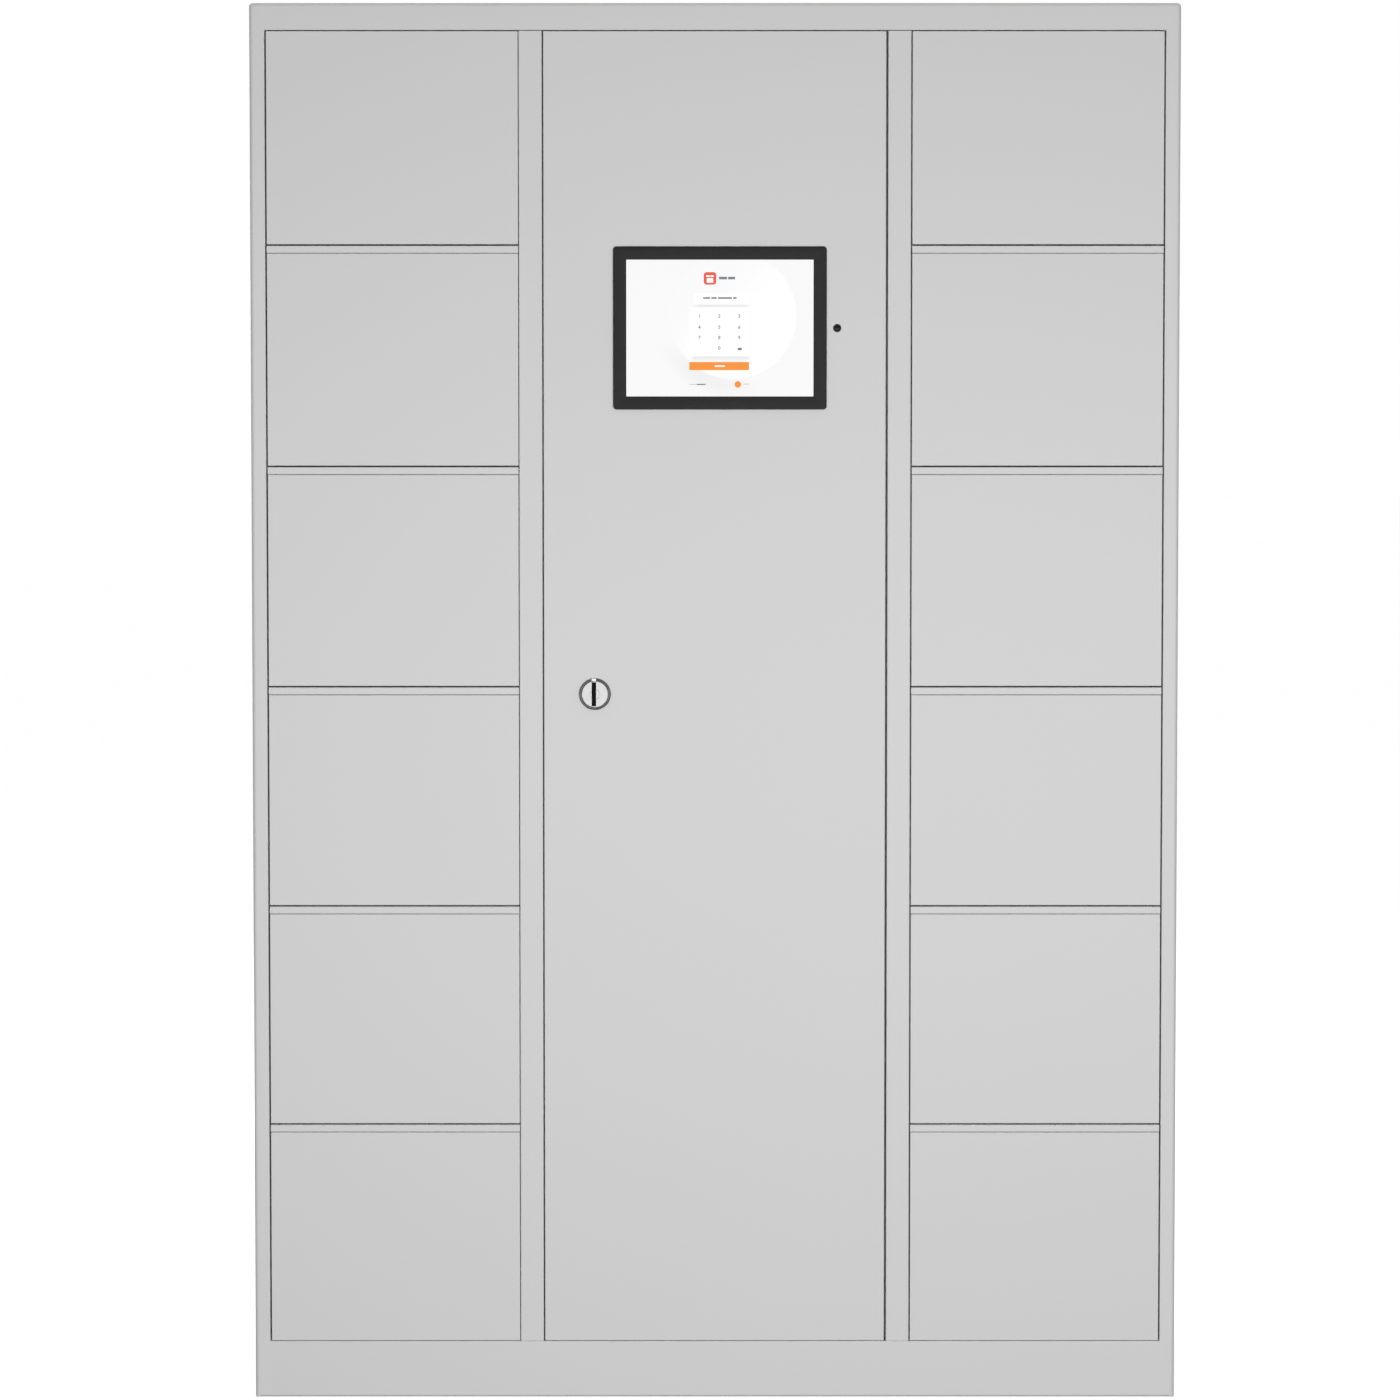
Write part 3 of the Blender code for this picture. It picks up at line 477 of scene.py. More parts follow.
def rounded_outline(centre, size, radius, steps=6):
    half = (size[0] / 2 - radius, size[1] / 2 - radius)
    points = []
    for across, up, start in ((1, 1, 0), (-1, 1, pi / 2), (-1, -1, pi), (1, -1, 3 * pi / 2)):
        middle = (centre[0] + across * half[0], centre[1] + up * half[1])
        points += arc(middle, radius, start, steps) if radius else [middle]
    return points


def plate(outlines, thickness, rounding=0, steps=3):
    """A plate in the XZ plane from closed outlines, with rounded edges, centred on Y = 0."""
    curve = bpy.data.curves.new("plate", "CURVE")
    curve.dimensions = "2D"
    curve.fill_mode = "BOTH"
    curve.extrude = thickness / 2 - rounding
    curve.bevel_depth = rounding
    curve.bevel_resolution = steps
    curve.offset = -rounding
    for outline in outlines:
        spline = curve.splines.new("POLY")
        spline.points.add(len(outline) - 1)
        for point, (x, z) in zip(spline.points, outline):
            point.co = (x, z, 0, 1)
        spline.use_cyclic_u = True
    mesh = curve_mesh(curve)
    mesh.transform(STAND)
    builder = Builder().add(mesh)
    bmesh.ops.remove_doubles(builder.bm, verts=builder.bm.verts, dist=MERGE)
    return builder.mesh("plate")


# ---- Casing: one welded and ground shell, shown as its four CAD pieces ----
CORNER_RADIUS, FOOT_RADIUS, FOLD_RADIUS = 0.005, 0.003, 0.0011
FOOT_LEFT, FOOT_RIGHT = LOW.x + CORNER_RADIUS + SHEET, HIGH.x - CORNER_RADIUS - SHEET
BENT = 1  # the angle in radians from which two faces meet at a fold


def within(value, low, high):
    return low - CLOSE < value < high + CLOSE


def extrude_edges(bm, edges, move):
    made = bmesh.ops.extrude_edge_only(bm, edges=edges)["geom"]
    for vert in (item for item in made if isinstance(item, bmesh.types.BMVert)):
        vert.co += Vector(move(vert.co))
    return [item for item in made if isinstance(item, bmesh.types.BMEdge)]


def bisect(bm, faces, point, normal):
    edges = {edge for face in faces for edge in face.edges}
    verts = {vert for face in faces for vert in face.verts}
    geom = [*faces, *edges, *verts]
    bmesh.ops.bisect_plane(bm, geom=geom, plane_co=point, plane_no=normal)


def rim_where(bm, test):
    """The open edges whose ends both pass the test."""
    return [e for e in bm.edges if e.is_boundary and all(test(v.co) for v in e.verts)]


def cube(low, high):
    bm = Builder().block(low, high).bm
    bm.normal_update()
    return bm


def casing_surface():
    """The outer skin, front opening and inner returns, as one surface without thickness."""
    bm = cube(LOW, HIGH)
    open_sides = [f for f in bm.faces if f.normal.y > 0.5 or f.normal.z < -0.5]
    bmesh.ops.delete(bm, geom=open_sides, context="FACES")
    for x in (STILE_LEFT, STILE_RIGHT):
        bisect(bm, bm.faces[:], (x, 0, 0), (1, 0, 0))
    for z in (PLINTH_TOP, HEADER_EDGE):
        bisect(bm, bm.faces[:], (0, 0, z), (0, 0, 1))

    def on_plinth(face):
        return all(near(v.co.y, FRONT) and v.co.z < PLINTH_TOP + CLOSE for v in face.verts)

    for x in (FOOT_LEFT, FOOT_RIGHT):
        bisect(bm, [f for f in bm.faces if on_plinth(f)], (x, 0, 0), (1, 0, 0))

    def in_opening(co):
        inside = within(co.x, STILE_LEFT, STILE_RIGHT) and within(co.z, PLINTH_TOP, HEADER_EDGE)
        return near(co.y, FRONT) and inside

    door_way = [f for f in bm.faces if all(in_opening(v.co) for v in f.verts)]
    bmesh.ops.delete(bm, geom=door_way, context="FACES")
    jambs = extrude_edges(bm, rim_where(bm, in_opening), lambda co: (0, REBATE_DEPTH, 0))
    jambs = [e for e in jambs if all(near(v.co.y, FRONT + REBATE_DEPTH) for v in e.verts)]
    for stile, step in ((STILE_LEFT, REBATE), (STILE_RIGHT, -REBATE)):
        edges = [e for e in jambs if all(near(v.co.x, stile) for v in e.verts)]
        extrude_edges(bm, edges, lambda co, step=step: (step, 0, 0))

    def rear_step(co):
        across = -REAR_FLANGE if near(co.x, HIGH.x) else REAR_FLANGE if near(co.x, LOW.x) else 0
        return (across, 0, -REAR_FLANGE if near(co.z, HEIGHT) else 0)

    extrude_edges(bm, rim_where(bm, lambda co: near(co.y, REAR)), rear_step)

    def at_foot(co):
        return near(co.y, FRONT) and near(co.z, 0) and within(co.x, FOOT_LEFT, FOOT_RIGHT)

    extrude_edges(bm, rim_where(bm, at_foot), lambda co: (0, PLINTH_FOOT, 0))
    return bm


def round_casing(bm):
    """Rounds the outer corners widely and the folds at the opening tightly."""

    def lies(edge, axis, value):
        return all(near(vert.co[axis], value) for vert in edge.verts)

    def is_outer(edge):
        side = lies(edge, 0, LOW.x) or lies(edge, 0, HIGH.x)
        return side + lies(edge, 1, FRONT) + lies(edge, 2, HEIGHT) >= 2

    def is_foot(edge):
        return lies(edge, 1, FRONT) and lies(edge, 2, 0)

    def is_fold(edge):
        return edge.calc_face_angle() > BENT and not is_outer(edge) and not is_foot(edge)

    corners = ((is_outer, CORNER_RADIUS, 5), (is_foot, FOOT_RADIUS, 4), (is_fold, FOLD_RADIUS, 3))
    for test, radius, segments in corners:
        edges = [e for e in bm.edges if len(e.link_faces) == 2 and test(e)]
        round_edges(bm, edges, radius, segments)


def casing():
    whole = casing_surface()
    round_casing(whole)

    def part_of(co):
        if STILE_LEFT < co.x < STILE_RIGHT:
            if co.z > HEADER_EDGE:
                return "top_panel"
            if co.z < PLINTH_TOP:
                return "plinth"
        return "side_panel_left" if co.x < 0 else "side_panel_right"

    for node in ("top_panel", "plinth", "side_panel_left", "side_panel_right"):
        bm = whole.copy()
        other = [f for f in bm.faces if part_of(f.calc_center_median()) != node]
        bmesh.ops.delete(bm, geom=other, context="FACES")
        mesh = pressed(solidify(draft(bm)))
        show(node + "_shell", mesh, [PAINT], "root", node)
    whole.free()


# ---- Doors ----
DOOR_LIP, DOOR_FOLD = 0.01, 0.001
ROD_HOLE, KEY_HOLE, LENS_HOLE = 0.0029, 0.0133, 0.0054  # radii
PAST = 0.01  # how far a cutter runs past what it cuts


def pan(low, high):
    """A door's folded tray, open at the back, with lips all round."""
    bm = cube(low, high)
    back = next(f for f in bm.faces if f.normal.y > 0.5)
    bmesh.ops.inset_region(bm, faces=[back], thickness=DOOR_LIP, use_even_offset=True)
    bmesh.ops.delete(bm, geom=[back], context="FACES")
    folds = [e for e in bm.edges if len(e.link_faces) == 2 and e.calc_face_angle() > BENT]
    round_edges(bm, folds, DOOR_FOLD, 3)
    return solidify(draft(bm))


def stiffener(builder, x, front, low_z, high_z, width=0.056, depth=0.013, flange=0.011, welds=4):
    """A hat-section channel welded upright to the back of a door's face."""
    half, top = width / 2, front + depth
    builder.block((x - half, top - SHEET, low_z), (x + half, top, high_z), 0.0004)
    web, foot = (half - SHEET, depth - SHEET / 2), (half + flange, SHEET)
    weld = [(0.0024, 0.0001), (0.0018, -0.0004), (0, -0.0005)]
    for side in (-1, 1):
        for reach, rise in (web, foot):
            left, right = sorted((x + side * half, x + side * reach))
            builder.block((left, front, low_z), (right, front + rise, high_z), 0.0003)
        for step in range(welds):
            z = low_z + (high_z - low_z) * (step + 0.5) / welds
            spot = (x + side * (half + flange / 2), front + SHEET, z)
            builder.lathe(weld, spot, (0, 1, 0), 16)


def bumper(builder, middle, radius=0.0038, height=0.0034):
    """A rubber button pressed into a door's lip."""
    profile = [(radius, -0.0004), *dome(radius, height, 6)[1:]]
    builder.lathe(profile, middle, (0, 1, 0), 24)


def small_doors():
    """Twelve doors from one set of meshes, which has its origin on the hinge. The right bank's are
    mirrored."""
    low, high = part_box("door_left_1")
    hinge = Vector((ROD_X["left"], ROD_Y, (low.z + high.z) / 2))
    low, high = low - hinge, high - hinge
    bolt_low, bolt_high = (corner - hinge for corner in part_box("bolt_left_1"))
    bolt_z, clear, wall = (bolt_low.z + bolt_high.z) / 2, 0.002, 3 * SHEET
    holes = Builder().rod((0, 0, low.z - PAST), (0, 0, high.z + PAST), ROD_HOLE, 24)
    holes.block(
        (high.x - wall, bolt_low.y - clear, bolt_low.z - clear),
        (high.x + wall, bolt_high.y + clear, bolt_high.z + clear),
    )
    tray = pressed(carve(pan(low, high), holes))

    behind = low.y + SHEET
    inner = Builder()
    stiffener(inner, (low.x + high.x) / 2, behind, low.z + 0.03, high.z - 0.03)

    keeper = Builder()
    face = high.x - SHEET - 0.0016
    for start, end in ((-0.026, -0.0065), (0.0065, 0.026)):
        corner = (face, behind + 0.0002, bolt_z + start)
        keeper.block(corner, (high.x - SHEET - 0.0002, high.y - 0.002, bolt_z + end), 0.0003)
    for z in (bolt_z - 0.018, bolt_z + 0.018):
        keeper.screw_head((face, (behind + high.y) / 2, z), (-1, 0, 0), 0.0026)

    pads = Builder()
    for z in (low.z + 0.022, high.z - 0.022):
        bumper(pads, (high.x - DOOR_LIP / 2, high.y, z))

    parts = (
        ("pan", tray, PAINT, "powder_coat_grey"),
        ("stiffener", inner.mesh("door_stiffener"), PAINT, "powder_coat_grey"),
        ("keeper", keeper.mesh("door_keeper"), ZINC, "zinc_steel"),
        ("bumpers", pads.mesh("door_bumpers"), RUBBER, "black_plastic"),
    )
    for name, side in SIDES.items():
        for row in range(ROWS):
            node = f"door_{name}_{row + 1}"
            place = (ROD_X[name], ROD_Y, middle_of(node).z)
            for part, mesh, material, slot in parts:
                replaced = node if part == "pan" else None
                show(f"{node}_{part}", mesh, [material], node, replaced, place, side > 0)


def service_door():
    low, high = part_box("tablet")
    clear, through = Vector((0.002, PAST, 0.002)), Vector((0, PAST, 0))
    low.y = high.y = FRONT
    holes = Builder().block(low - clear, high + clear)
    holes.rod((ROD_X["service"], ROD_Y, 0), (ROD_X["service"], ROD_Y, HEIGHT), ROD_HOLE, 24)
    holes.rod(KEY - through, KEY + through, KEY_HOLE, 48)
    holes.rod(CAMERA_HOLE - through, CAMERA_HOLE + through, LENS_HOLE, 32)
    mesh = pressed(carve(pan(SERVICE_LOW, SERVICE_HIGH), holes))
    body, slot = "service_door", "powder_coat_grey"
    show("service_door_pan", mesh, [PAINT], body, "service_door")

    ribs, clear = Builder(), 0.03
    housing_low, housing_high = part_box("tablet_housing")
    lower = (SERVICE_LOW.z + clear, housing_low.z - clear)
    upper = (housing_high.z + clear, SERVICE_HIGH.z - clear)
    for x in (TABLET.x - 0.075, TABLET.x + 0.105):
        for ends in (lower, upper):
            stiffener(ribs, x, FRONT + SHEET, *ends)
    ribs.make("service_door_stiffeners", [PAINT], body, slot)

    pads = Builder()
    for inset in (0.03, 0.55):
        for z in (SERVICE_LOW.z + inset, SERVICE_HIGH.z - inset):
            bumper(pads, (SERVICE_LOW.x + DOOR_LIP / 2, SERVICE_HIGH.y, z))
    pads.make("service_door_bumpers", [RUBBER], body, "black_plastic")


# ---- Tablet and its screen ----
WINDOW = (0.2401, 0.1751)
IMAGE_THICKNESS = 0.00004
LAYER = 0.00009  # step between what is drawn on the screen, towards the front


def tablet():
    low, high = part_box("tablet_bezel")
    size = (high.x - low.x, high.z - low.z)
    outlines = [rounded_outline((0, 0), size, 0.0045), rounded_outline((0, 0), WINDOW, 0.0008, 3)]
    mesh = plate(outlines, high.y - low.y, 0.0006)
    body, slot = "service_door", "black_plastic"
    show("tablet_bezel_frame", mesh, [BEZEL], body, "tablet_bezel", (low + high) / 2)
    coat(["tablet"], GLASS)
    tablet_housing()
    screen()


def tablet_housing():
    """A folded steel box with vents and a cable hole, with a screw head at each corner of its back
    and a grommet in the hole.
    """
    low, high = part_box("tablet_housing")
    back, middle_z, wall = high.y, (low.z + high.z) / 2, Vector((0.0015, 0.0015, 0.0015))
    box = Builder().block(low, high, 0.0016, 3)
    hollow_low = low + wall
    hollow_low.y = low.y - PAST
    hollow = Builder().block(hollow_low, high - wall)
    holes = Builder()
    for row in range(-3, 4):
        for x in (low.x + 0.07, high.x - 0.07):
            z = middle_z + row * 0.014
            holes.upright(x, z, 0.03, 0.002, back - PAST, back + PAST)
    cable = Vector((high.x - 0.03, back, low.z + 0.03))
    holes.rod(cable - Vector((0, PAST, 0)), cable + Vector((0, PAST, 0)), 0.01, 32)
    mesh = pressed(carve(draft(box.bm), hollow, holes))
    body, slot = "service_door", "zinc_steel"
    show("tablet_housing_box", mesh, [ZINC], body, "tablet_housing")

    fittings, inset = Builder(), 0.012
    for x in (low.x + inset, high.x - inset):
        for z in (low.z + inset, high.z - inset):
            fittings.screw_head((x, back, z), (0, 1, 0), 0.0035)
    grommet = [
        (0.007, 0.0018), (0.01, 0.0022), (0.0125, 0.001), (0.0125, 0),
        (0.0098, -0.0008), (0.007, -0.0012), (0.007, 0.0018),
    ]
    fittings.lathe(grommet, cable, (0, 1, 0), 32, paint=1)
    fittings.make("tablet_housing_screws", [SCREW, RUBBER], body, slot)


def soft_box(shader, x, z, middle, half, blur):
    """1 inside a rectangle and 0 outside it, fading over blur."""
    edges = []
    for value, centre, reach in ((x, middle[0], half[0]), (z, middle[1], half[1])):
        distance = shader.math("ABSOLUTE", shader.math("SUBTRACT", value, centre))
        edges.append(shader.fade(distance, reach - blur, reach + blur))
    return shader.math("MULTIPLY", *edges)


def screen_backdrop():
    """Near-white, with a wide pale disc and the soft shadows of the cards."""
    shader = Shader("screen_backdrop", (0.01,) * 3, SCREEN_ROUGHNESS, specular=SCREEN_SHEEN)
    shader.set("Emission Strength", 1)
    calc, fade = shader.math, shader.fade
    split = add_node(shader.tree, "SeparateXYZ", {"Vector": shader.place})
    x, z = split.outputs["X"], split.outputs["Z"]
    across, up = calc("SUBTRACT", x, 0.017), calc("SUBTRACT", z, 0.016)
    squares = calc("ADD", calc("MULTIPLY", across, across), calc("MULTIPLY", up, up))
    radius = calc("SQRT", squares)
    disc = fade(radius, 0.0795, 0.083)
    lower_right = fade(calc("SUBTRACT", x, z), -0.07, 0.03, 0.2, 1)
    glow = calc("MULTIPLY", disc, lower_right)
    tone = shader.mix(glow, (0.92, 0.92, 0.923), (0.975, 0.975, 0.977))
    lower_left = fade(calc("ADD", calc("MULTIPLY", x, 0.45), z), -0.09, -0.042)
    halo = calc("MULTIPLY", fade(radius, 0.078, 0.11), lower_left)
    outside = calc("MULTIPLY", halo, calc("SUBTRACT", 1, disc))
    tone = shader.mix(outside, tone, (0.8, 0.8, 0.805))
    title_card = ((0.003, 0.033), (0.0335, 0.0065), 0.0045, 0.3)
    keypad_card = ((0.001, -0.0085), (0.0365, 0.0325), 0.004, 0.28)
    for middle, half, blur, strength in (title_card, keypad_card):
        shadow = calc("MULTIPLY", soft_box(shader, x, z, middle, half, blur), strength)
        tone = shader.mix(shadow, tone, (0.35, 0.37, 0.39))
    shader.link(tone, "Emission Color")
    return shader.material


def drawn(*outlines):
    return plate(outlines, IMAGE_THICKNESS)


def bars(z, height, radius, *spans):
    """Word-like bars, one for each span (start x, end x)."""
    return drawn(*(rounded_outline(((a + b) / 2, z), (b - a, height), radius, 3) for a, b in spans))


def digits():
    """The keypad's figures, in the built-in typeface, as one thin mesh."""
    columns, rows = (-0.0262, -0.0008, 0.0248), (0.0152, 0.0009, -0.0124, -0.0258)
    places = [(str(i + 1), columns[i % 3], rows[i // 3]) for i in range(9)]
    keypad = Builder()
    for character, x, z in [*places, ("0", columns[1], rows[3])]:
        curve = bpy.data.curves.new("digit", "FONT")
        curve.body = character
        curve.size = 0.0062
        curve.offset = 0.0001
        curve.align_x = curve.align_y = "CENTER"
        curve.extrude = IMAGE_THICKNESS / 2
        mesh = curve_mesh(curve)
        mesh.transform(Matrix.Translation((x, 0, z)) @ STAND)
        keypad.add(mesh)
    bmesh.ops.remove_doubles(keypad.bm, verts=keypad.bm.verts, dist=MERGE / 10)
    return keypad.mesh("digits")


def parcel_icon(x, z, size):
    """A plain box with a strip of tape across its top."""
    lid, body, tape = (0.42, 0.24, 0.03), (0.86, 0.6, 0.05), (0.07, 0.24, 0)
    shapes = ((-0.29, 0.3, *lid), (0.29, 0.3, *lid), (0, -0.27, *body), (0, 0.3, *tape))
    outlines = []
    for across, up, wide, high, radius in shapes:
        centre = (x + size * across, z + size * up)
        outlines.append(rounded_outline(centre, (size * wide, size * high), size * radius, 2))
    return drawn(*outlines)


def screen():
    """The waiting page: icon and title, heading, keypad, button and footer, in generic shapes."""
    card, coral = lit("card_white", (0.985, 0.987, 0.99)), lit("icon_coral", (0.8, 0.105, 0.07))
    orange = lit("button_orange", (0.956, 0.296, 0.04))
    text, faint = lit("text_grey", (0.22, 0.23, 0.24)), lit("text_pale", (0.2, 0.205, 0.21))
    paler, peach = lit("text_paler", (0.6, 0.6, 0.61)), lit("text_orange", (0.93, 0.55, 0.33))
    image = rounded_outline((0, 0), (WINDOW[0] + 0.005, WINDOW[1] + 0.005), 0.001)
    cards = [
        rounded_outline((0.0022, 0.0372), (0.0718, 0.0144), 0.002),
        rounded_outline((-0.0005, -0.0048), (0.0773, 0.0629), 0.002),
    ]
    button = rounded_outline((-0.0009, -0.0487), (0.0766, 0.0104), 0.001)
    words = ((-0.0215, -0.0125), (-0.011, -0.004), (-0.0025, 0.0155), (0.017, 0.0215))
    erase = [
        (0.0222, -0.0268), (0.024, -0.0252), (0.028, -0.0252), (0.028, -0.0284), (0.024, -0.0284),
    ]
    icon_x, icon_z = -0.0127, 0.0636
    tile = rounded_outline((icon_x, icon_z), (0.016, 0.016), 0.0036)
    title = ((-0.0012, 0.0092), (0.0104, 0.0196))
    footer = -0.0722
    pieces = (
        ("screen_image", drawn(image), 0, screen_backdrop()),
        ("screen_cards", drawn(*cards), 1, card),
        ("screen_button", drawn(button), 1, orange),
        ("screen_button_word", bars(-0.0487, 0.0019, 0.0005, (-0.0068, 0.0066)), 2, card),
        ("screen_heading", bars(0.0385, 0.0021, 0.0006, *words), 2, faint),
        ("keypad_digits", digits(), 2, faint),
        ("keypad_erase", drawn(erase), 2, faint),
        ("screen_icon_tile", drawn(tile), 1, coral),
        ("screen_icon_parcel", parcel_icon(icon_x, icon_z, 0.0098), 2, card),
        ("screen_title_bars", bars(0.064, 0.0034, 0.0008, *title), 1, text),
        ("screen_footer_pale", bars(footer, 0.0011, 0.0004, (-0.0392, -0.0305)), 1, paler),
        ("screen_footer_bar", bars(footer, 0.0015, 0.0005, (-0.0298, -0.0182)), 1, faint),
        ("screen_help_dot", drawn(circle(0.0231, footer, 0.0042)), 1, orange),
        ("screen_help_bar", bars(-0.0718, 0.0013, 0.0004, (0.03, 0.0372)), 1, peach),
    )
    for name, mesh, layer, material in pieces:
        place = (TABLET.x, FRONT - 0.00005 - LAYER * layer, TABLET.z)
        show(name, mesh, [material], "service_door", location=place)


# ---- Camera and key lock ----
def camera_module():
    ring = [
        (0.005, -0.01), (0.005, -0.0005), (0.0048, -0.0001), (0.0043, -0.0001),
        (0.0039, -0.0012), (0.0036, -0.0036), (0, -0.0036),
    ]
    body = Builder().lathe(ring, CAMERA_HOLE, segments=48)
    low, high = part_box("camera_module")
    body.block((low.x, FRONT + 0.0095, low.z), high, 0.0012, 3)
    body.make("camera_body", [BLACK], "service_door", "black_plastic", "camera_module")
    lens = Builder().lathe(dome(0.0035, 0.0006, 6, -0.0034), CAMERA_HOLE, segments=40)
    lens.make("camera_glass", [LENS], "service_door", "screen_glass")


def key_lock():
    """A dark ring, a brushed slotted face that turns in it, and a hexagonal nut behind the door. A
    near-black block in the key slot is painted shade for a deep keyway.
    """
    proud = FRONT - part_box("lock_housing")[0].y
    door, plug_body, slot = "service_door", "key_plug", "satin_chrome"
    ring = [
        (0.0173, 0.0006), (0.0173, proud - 0.0014), (0.0177, proud - 0.0005),
        (0.0183, proud - 0.0001), (0.0186, proud - 0.0001), (0.0194, proud - 0.0007),
        (0.0201, proud - 0.0019), (0.0205, proud - 0.0034), (0.0205, 0.0002),
        (0.013, 0.0002), (0.013, -0.024), (0.008, -0.024), (0.008, 0.0006), (0.0173, 0.0006),
    ]
    housing = Builder().lathe(ring, KEY, segments=96)
    housing.make("lock_ring", [DARK_CHROME], door, slot, "lock_housing")

    behind = FRONT + SHEET
    nut = Builder().rod((KEY.x, behind + 0.0004, KEY.z), (KEY.x, behind + 0.006, KEY.z), 0.0185, 6)
    nut.make("lock_nut", [ZINC], door, "zinc_steel")

    # A small white mark on the ring at its top.
    mark, top = Builder(), FRONT - proud
    mark.upright(KEY.x - 0.0014, KEY.z + 0.0187, 0.0028, 0.0015, top, top + 0.0014, 0.0003)
    mark.make("lock_top_mark", [TOP_MARK], door, slot)

    face, groove = proud - 0.0006, 0.0063
    profile = [
        (0, face - 0.0001), (groove - 0.0003, face - 0.0001), (groove, face - 0.0005),
        (groove + 0.0003, face), (0.0163, face), (0.017, face - 0.0006), (0.0171, 0.0012),
        (0.0075, 0.0012), (0.0075, -0.0265), (0, -0.0265),
    ]
    plug = Builder().lathe(profile, KEY, segments=96)
    slot_x, half_width, half_height, gap = KEY.x - 0.0013, 0.00285, 0.0155, 0.0001
    front, bottom = FRONT - face, FRONT - face + 0.0026
    recess = Builder().upright(slot_x, KEY.z, half_width, half_height, front - 0.002, bottom)
    bmesh.ops.recalc_face_normals(plug.bm, faces=plug.bm.faces)
    mesh = settle(carve(draft(plug.bm), recess))
    mesh.shade_flat()
    show("lock_face", mesh, [LOCK_FACE], plug_body, "lock_plug")

    end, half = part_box("lock_plug")[1].y, 0.004
    spindle = Builder().upright(KEY.x, KEY.z, half, half, FRONT + 0.026, end, 0.0004)
    spindle.rod((KEY.x, end - 0.0015, KEY.z), (KEY.x, end + 0.0018, KEY.z), 0.0062, 6)
    spindle.make("lock_spindle", [ZINC], plug_body, "zinc_steel")

    # Painted shade: a near-black block fills the shallow key slot and stands in for the dark of a
    # deep keyway.
    slot_shade, half_width, half_height = Builder(), half_width - gap, half_height - gap
    slot_shade.upright(slot_x, KEY.z, half_width, half_height, front + 0.0004, bottom - gap, 0.0002)
    slot_shade.make("key_slot_painted_shade", [SLOT_SHADE], plug_body, "black_plastic")
    coat(["lock_cam"], ZINC)


# ---- CAD pieces that stay, with better materials ----
def coat(names, material):
    for name in names:
        mesh = frame["nodes"][name].data
        mesh.materials.clear()
        mesh.materials.append(material)


def sheet_metal():
    coat(["base_panel", "back_panel", "partition_left", "partition_right"], PAINT)
    coat([f"shelf_{side}_{row + 1}" for side in SIDES for row in range(ROWS - 1)], PAINT)


def hinge_rods():
    tip = 0.0008
    for name in ("left", "right", "service"):
        node = "hinge_rod_" + name
        low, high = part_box(node)
        radius, length = (high.x - low.x) / 2, high.z - low.z
        half = [(0, 0), (radius - tip, 0), (radius, tip)]
        profile = half + [(reach, length - height) for reach, height in reversed(half)]
        rod = Builder().lathe(profile, (ROD_X[name], middle_of(node).y, low.z), (0, 0, 1), 32)
        rod.make(node + "_bar", [BLACKENED], "root", "blackened_steel", node)


# ---- Electric locks, looms and boxes ----
def bolts():
    """The CAD bolts, with their edges rounded."""
    names = [f"bolt_{side}_{row + 1}" for side in SIDES for row in range(ROWS)]
    coat(names, SCREW)
    for name in names:
        welded = modify(frame["nodes"][name], "WELD", merge_threshold=CLOSE)
        edges = {"limit_method": "ANGLE", "angle_limit": radians(50)}
        modify(welded, "BEVEL", width=0.0004, segments=2, **edges)


def lock_rails():
    """Each bank's strip and its six lock cases, with the bolt's bore, screws and a connector."""
    gap, half, strip_inset, strip_sheet = 0.0003, 0.026, 0.004, 0.0015
    for name in SIDES:
        rail = "lock_rail_" + name
        low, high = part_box(rail)
        front, back, x = low.y, high.y - strip_sheet - 0.0001, (low.x + high.x) / 2
        strip, cases, fittings = Builder(), Builder(), Builder()
        strip_low = (low.x + strip_inset, high.y - strip_sheet, low.z)
        strip.block(strip_low, (high.x - strip_inset, high.y, high.z), 0.0003)
        for row in range(ROWS):
            bolt_low, bolt_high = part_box(f"bolt_{name}_{row + 1}")
            z, below, above = (bolt_low.z + bolt_high.z) / 2, bolt_low.z - gap, bolt_high.z + gap
            for start, end, bottom, top in (
                (front, back, above, z + half),
                (front, back, z - half, below),
                (bolt_high.y + gap, back, below, above),
                (front, bolt_low.y - gap, below, above),
            ):
                bevel = 0.0005 if start == front else 0
                cases.block((low.x, start, bottom), (high.x, end, top), bevel)
            for dz in (-0.019, 0.019):
                fittings.screw_head((x, high.y, z + dz), (0, 1, 0), 0.003)
            plug = (x, z - 0.0075, 0.006, 0.0045, high.y - 0.0005, high.y + 0.004)
            fittings.upright(*plug, 0.0006, paint=1)
        strip.make(rail + "_strip", [ZINC], "root", "zinc_steel", rail)
        cases.make(rail + "_cases", [CASE], "root", "dark_case")
        fittings.make(rail + "_fittings", [SCREW, CREAM], "root", "zinc_steel")


LOOM_RADIUS, LEAD_RADIUS, CORE_RADIUS = 0.004, 0.0034, 0.0012
CLIP_SHEET, CLIP_HALF, CLIP_FOOT = 0.0014, 0.0045, 0.002
CLIP_REACH, CLIP_SCREW = 0.0105, 0.0055  # the foot's end and its screw, from the saddle


def clip(builder, middle, along, wall, reach, radius=LEAD_RADIUS):
    """A saddle over a cable, with a foot screwed to the sheet beside it. wall points from the
    cable's middle to the sheet, which lies at the distance reach."""
    middle, along, wall = Vector(middle), Vector(along), Vector(wall)
    side, over, end = along.cross(wall), radius + CLIP_SHEET, along * CLIP_HALF
    foot_top, sheet = wall * (reach - CLIP_FOOT), wall * reach
    saddle = (-end - (side + wall) * over, end + side * over + sheet, 0.0012)
    foot = (-end + side * over * 0.8 + foot_top, end + side * (over + CLIP_REACH) + sheet, 0.0006)
    for start, stop, bevel in (saddle, foot):
        pairs = [sorted(pair) for pair in zip(middle + start, middle + stop)]
        low, high = zip(*pairs)
        builder.block(low, high, bevel, 3)
    builder.screw_head(middle + side * (over + CLIP_SCREW) + foot_top, -wall, 0.0026, paint=1)


